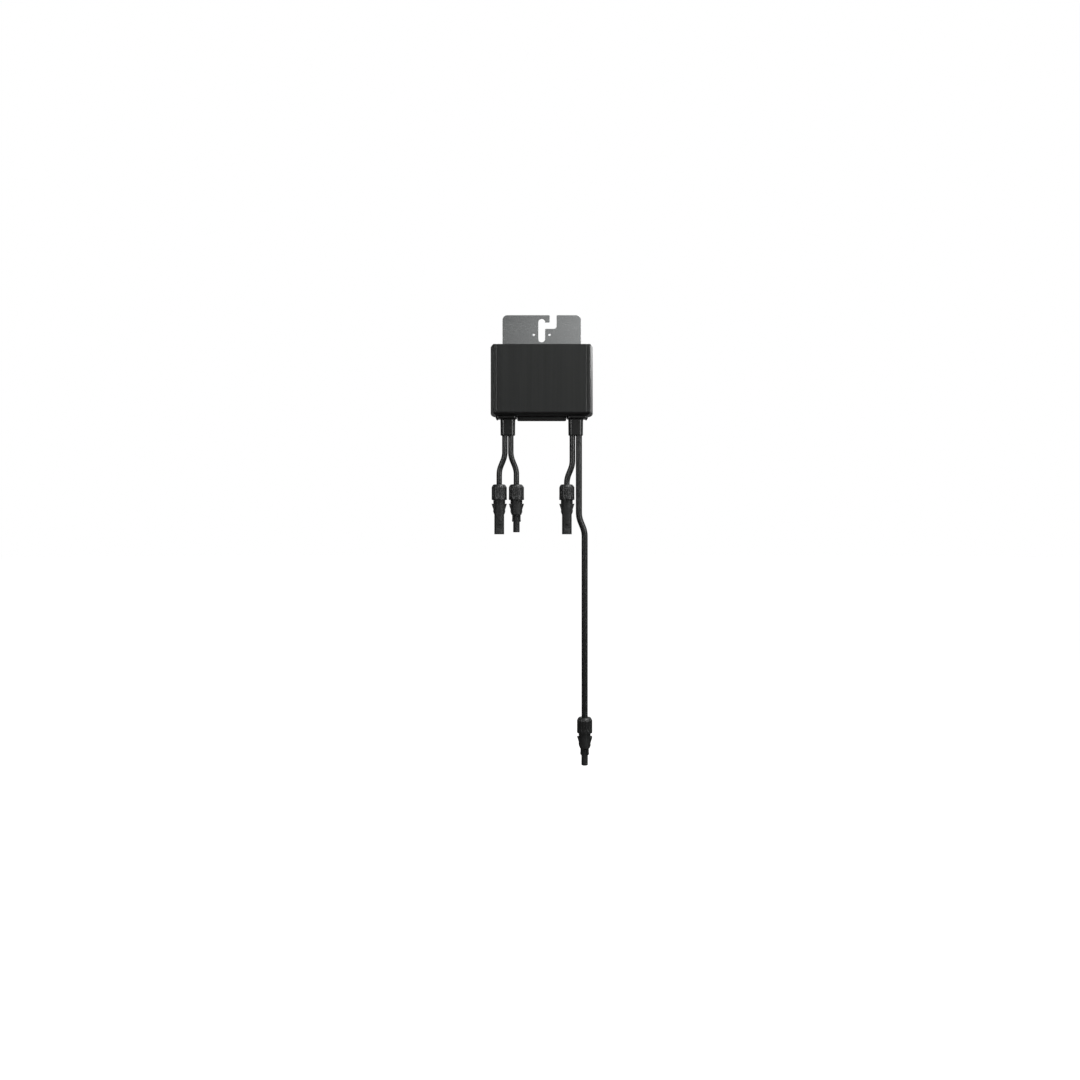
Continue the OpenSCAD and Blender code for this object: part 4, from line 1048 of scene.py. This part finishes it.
class OPTIMIZER_OT_nuts(bpy.types.Operator):
    """Builds the fluted nut of each coupling."""

    bl_idname = "optimizer.nuts"
    bl_label = "Fluted nuts"

    def execute(self, context):
        size = context.scene.optimizer_couplings
        tree = self.flute_tree()
        for lead, (_, diameter, _, _) in LEADS.items():
            x, y, radius, low, high = nut_place(lead)
            height = high - low
            profile = self.profile(size, radius, height, diameter * MM / 2)
            piece = mesh_object(
                lead + "_fluted_nut", turned(profile, size.flutes * FLUTE_POINTS)
            )
            run_tree(piece, tree, {
                "Flutes": size.flutes, "Depth": size.flute_depth, "Radius": radius,
                "Lower end": size.nut_collar - height, "Finish": nut_finish(),
            })
            piece.data.transform(Matrix.Translation((x, y, high)))
            settle(piece, nut_finish(), "coupling_plastic", lead + "_nut")
        return {"FINISHED"}

    def profile(self, size, radius, height, lead_radius):
        """Half section from the hole round the lead, over the outside, to the hole for the stub."""
        shoulder, hole = size.shoulder_height, lead_radius + LEAD_ROOM
        points = [(hole, LEAD_HOLE), (hole, NUT_EDGE), (hole + NUT_EDGE, 0)]
        # The slope is straight, with its upper edge rounded off.
        crest = radius - size.shoulder_width
        points += [(crest + out * MM, depth * MM) for out, depth in NUT_BROW]
        points += [
            (crest + size.shoulder_width * k / SHOULDER_STEPS, shoulder * k / SHOULDER_STEPS)
            for k in range(2, SHOULDER_STEPS + 1)
        ]
        plain = height - shoulder
        points += [(radius, shoulder + plain * k / WALL_STEPS) for k in range(1, WALL_STEPS)]
        points += [(radius, height - NUT_EDGE), (radius - NUT_EDGE, height)]
        points += [(STUB_RADIUS + NUT_EDGE, height), (STUB_RADIUS, height - NUT_EDGE)]
        points += [(STUB_RADIUS, height - STUB_DEPTH), (hole, LEAD_HOLE)]
        return points

    def flute_tree(self):
        """Tree that presses rounded flutes into a turned nut, down to its collar."""
        tree, given = open_tree("flutes round a nut", {
            "Flutes": "Int", "Depth": "Float", "Radius": "Float", "Lower end": "Float",
        })
        place = add_node(tree, "GeometryNodeInputPosition")[0]
        part = add_node(tree, "ShaderNodeSeparateXYZ", {0: place})
        turn = add_node(
            tree, "ShaderNodeMath", {0: part["Y"], 1: part["X"]}, operation="ARCTAN2"
        )[0]
        phase = add_node(
            tree, "ShaderNodeMath", {0: turn, 1: given["Flutes"]}, operation="MULTIPLY"
        )[0]
        wave = add_node(tree, "ShaderNodeMath", {0: phase}, operation="COSINE")[0]
        hollow = add_node(
            tree, "ShaderNodeMapRange", {"Value": wave, "From Min": FLUTE_LEVEL, "From Max": 1.0},
            interpolation_type="SMOOTHSTEP",
        )["Result"]
        # The flutes run out above the collar, and don't reach the walls inside the nut.
        above = add_node(
            tree, "ShaderNodeMath", {0: given["Lower end"], 1: FLUTE_RUN_OUT}, operation="ADD"
        )[0]
        height_share = add_node(tree, "ShaderNodeMapRange", {
            "Value": part["Z"], "From Min": given["Lower end"], "From Max": above,
        })["Result"]
        flat = add_node(tree, "ShaderNodeCombineXYZ", {"X": part["X"], "Y": part["Y"]})[0]
        reach = add_node(tree, "ShaderNodeVectorMath", {0: flat}, operation="LENGTH")["Value"]
        near = add_node(
            tree, "ShaderNodeMath", {0: given["Radius"], 1: FLUTE_START}, operation="MULTIPLY"
        )[0]
        outer_share = add_node(tree, "ShaderNodeMapRange", {
            "Value": reach, "From Min": near, "From Max": given["Radius"],
        })["Result"]
        # The last factor turns the outward direction inwards.
        press = hollow
        for factor in (height_share, outer_share, given["Depth"], -1.0):
            press = add_node(tree, "ShaderNodeMath", {0: press, 1: factor}, operation="MULTIPLY")[0]
        outward = add_node(tree, "ShaderNodeVectorMath", {0: flat}, operation="NORMALIZE")["Vector"]
        move = add_node(
            tree, "ShaderNodeVectorMath", {0: outward, "Scale": press}, operation="SCALE"
        )["Vector"]
        pressed = add_node(
            tree, "GeometryNodeSetPosition", {"Geometry": given["Geometry"], "Offset": move}
        )["Geometry"]
        close_tree(tree, pressed, given["Finish"])
        return tree


class OPTIMIZER_OT_couplings(bpy.types.Operator):
    """Builds the coupling housings and finishes what is inside them."""

    bl_idname = "optimizer.couplings"
    bl_label = "Couplings"

    def execute(self, context):
        edge = context.scene.optimizer_couplings.moulded_edge
        for lead in LEADS:
            housing = lead + "_housing"
            mesh = softened_copy(housing, edge)
            add_piece(lead + "_moulding", mesh, moulding_finish(), "coupling_plastic", housing)
            paint(contact_finish(), lead + "_contact")
            paint(moulding_finish(), lead + "_clamp_ring")
            paint(seal_finish(), lead + "_cable_seal")
            if lead + "_o_ring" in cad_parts:
                paint(seal_finish(), lead + "_o_ring")
        return {"FINISHED"}


class OPTIMIZER_OT_leads(bpy.types.Operator):
    """Builds the four leads along their routes."""

    bl_idname = "optimizer.leads"
    bl_label = "Leads"

    def execute(self, context):
        offset = context.scene.optimizer_housing.boot_offset
        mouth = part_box("input_boot")[0].z
        depth = nut_place("input_left")[1]
        for lead, (side, diameter, whole, route) in LEADS.items():
            points = [(side * offset + x * MM, depth, mouth + z * MM) for x, z in route]
            curve = bpy.data.curves.new(lead + "_lead", "CURVE")
            curve.dimensions = "3D"
            curve.bevel_depth, curve.bevel_resolution = diameter * MM / 2, 6
            curve.use_fill_caps = True
            spline = curve.splines.new("POLY")
            spline.points.add(len(points) - 1)
            spline.points.foreach_set("co", [x for p in points for x in (*p, 1)])
            spline.use_smooth = True
            piece = bpy.data.objects.new(lead + "_lead", curve)
            context.scene.collection.objects.link(piece)
            settle(piece, sheath_finish(), "cable_sheath", lead + "_cable")
            names = [lead + end for end in ("_clamp_ring", "_cable_seal", "_contact", "_o_ring")]
            carried = [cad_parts[name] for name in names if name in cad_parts]
            carried += [bpy.data.objects[lead + end] for end in ("_fluted_nut", "_moulding")]
        return {"FINISHED"}


class OPTIMIZER_OT_electronics(bpy.types.Operator):
    """Finishes the board and the parts on it inside the sleeve."""

    bl_idname = "optimizer.electronics"
    bl_label = "Electronics"

    def execute(self, context):
        paint(board_finish(), "circuit_board")
        paint(pad_finish(), "thermal_pad")
        paint(ferrite_finish(), "inductor_core", "line_transformer")
        paint(copper_finish(), "inductor_winding")
        paint(can_finish(), "input_capacitors")
        paint(film_finish(), "output_capacitors")
        paint(chip_finish(), "power_switches", "control_chips")
        paint(contact_finish(), "lead_terminals")
        return {"FINISHED"}


class OPTIMIZER_PT_panel(bpy.types.Panel):
    """Lists the operators and the settings in the sidebar."""

    bl_idname = "OPTIMIZER_PT_panel"
    bl_label = "Power Optimizer"
    bl_space_type = "VIEW_3D"
    bl_region_type = "UI"
    bl_category = "Optimizer"

    def draw(self, context):
        for operator in OPERATORS:
            self.layout.operator(operator.bl_idname)
        for name, group in GROUPS.items():
            box = self.layout.box()
            for prop in group.__annotations__:
                box.prop(getattr(context.scene, name), prop)


OPERATORS = (
    OPTIMIZER_OT_stage, OPTIMIZER_OT_bracket, OPTIMIZER_OT_sleeve, OPTIMIZER_OT_caps,
    OPTIMIZER_OT_boots, OPTIMIZER_OT_nuts, OPTIMIZER_OT_couplings, OPTIMIZER_OT_leads,
    OPTIMIZER_OT_electronics,
)
GROUPS = {
    "optimizer_housing": OptimizerHousing,
    "optimizer_couplings": OptimizerCouplings,
    "optimizer_colours": OptimizerColours,
    "optimizer_stage": OptimizerStage,
}


def register():
    for group in GROUPS.values():
        bpy.utils.register_class(group)
    for name, group in GROUPS.items():
        setattr(bpy.types.Scene, name, PointerProperty(type=group))
    for operator in (*OPERATORS, OPTIMIZER_PT_panel):
        bpy.utils.register_class(operator)


def unregister():
    for operator in (OPTIMIZER_PT_panel, *reversed(OPERATORS)):
        bpy.utils.unregister_class(operator)
    for name, group in GROUPS.items():
        delattr(bpy.types.Scene, name)
        bpy.utils.unregister_class(group)


def main():
    register()
    for operator in OPERATORS:
        group, name = operator.bl_idname.split(".")
        getattr(getattr(bpy.ops, group), name)()


if __name__ == "__main__":
    main()
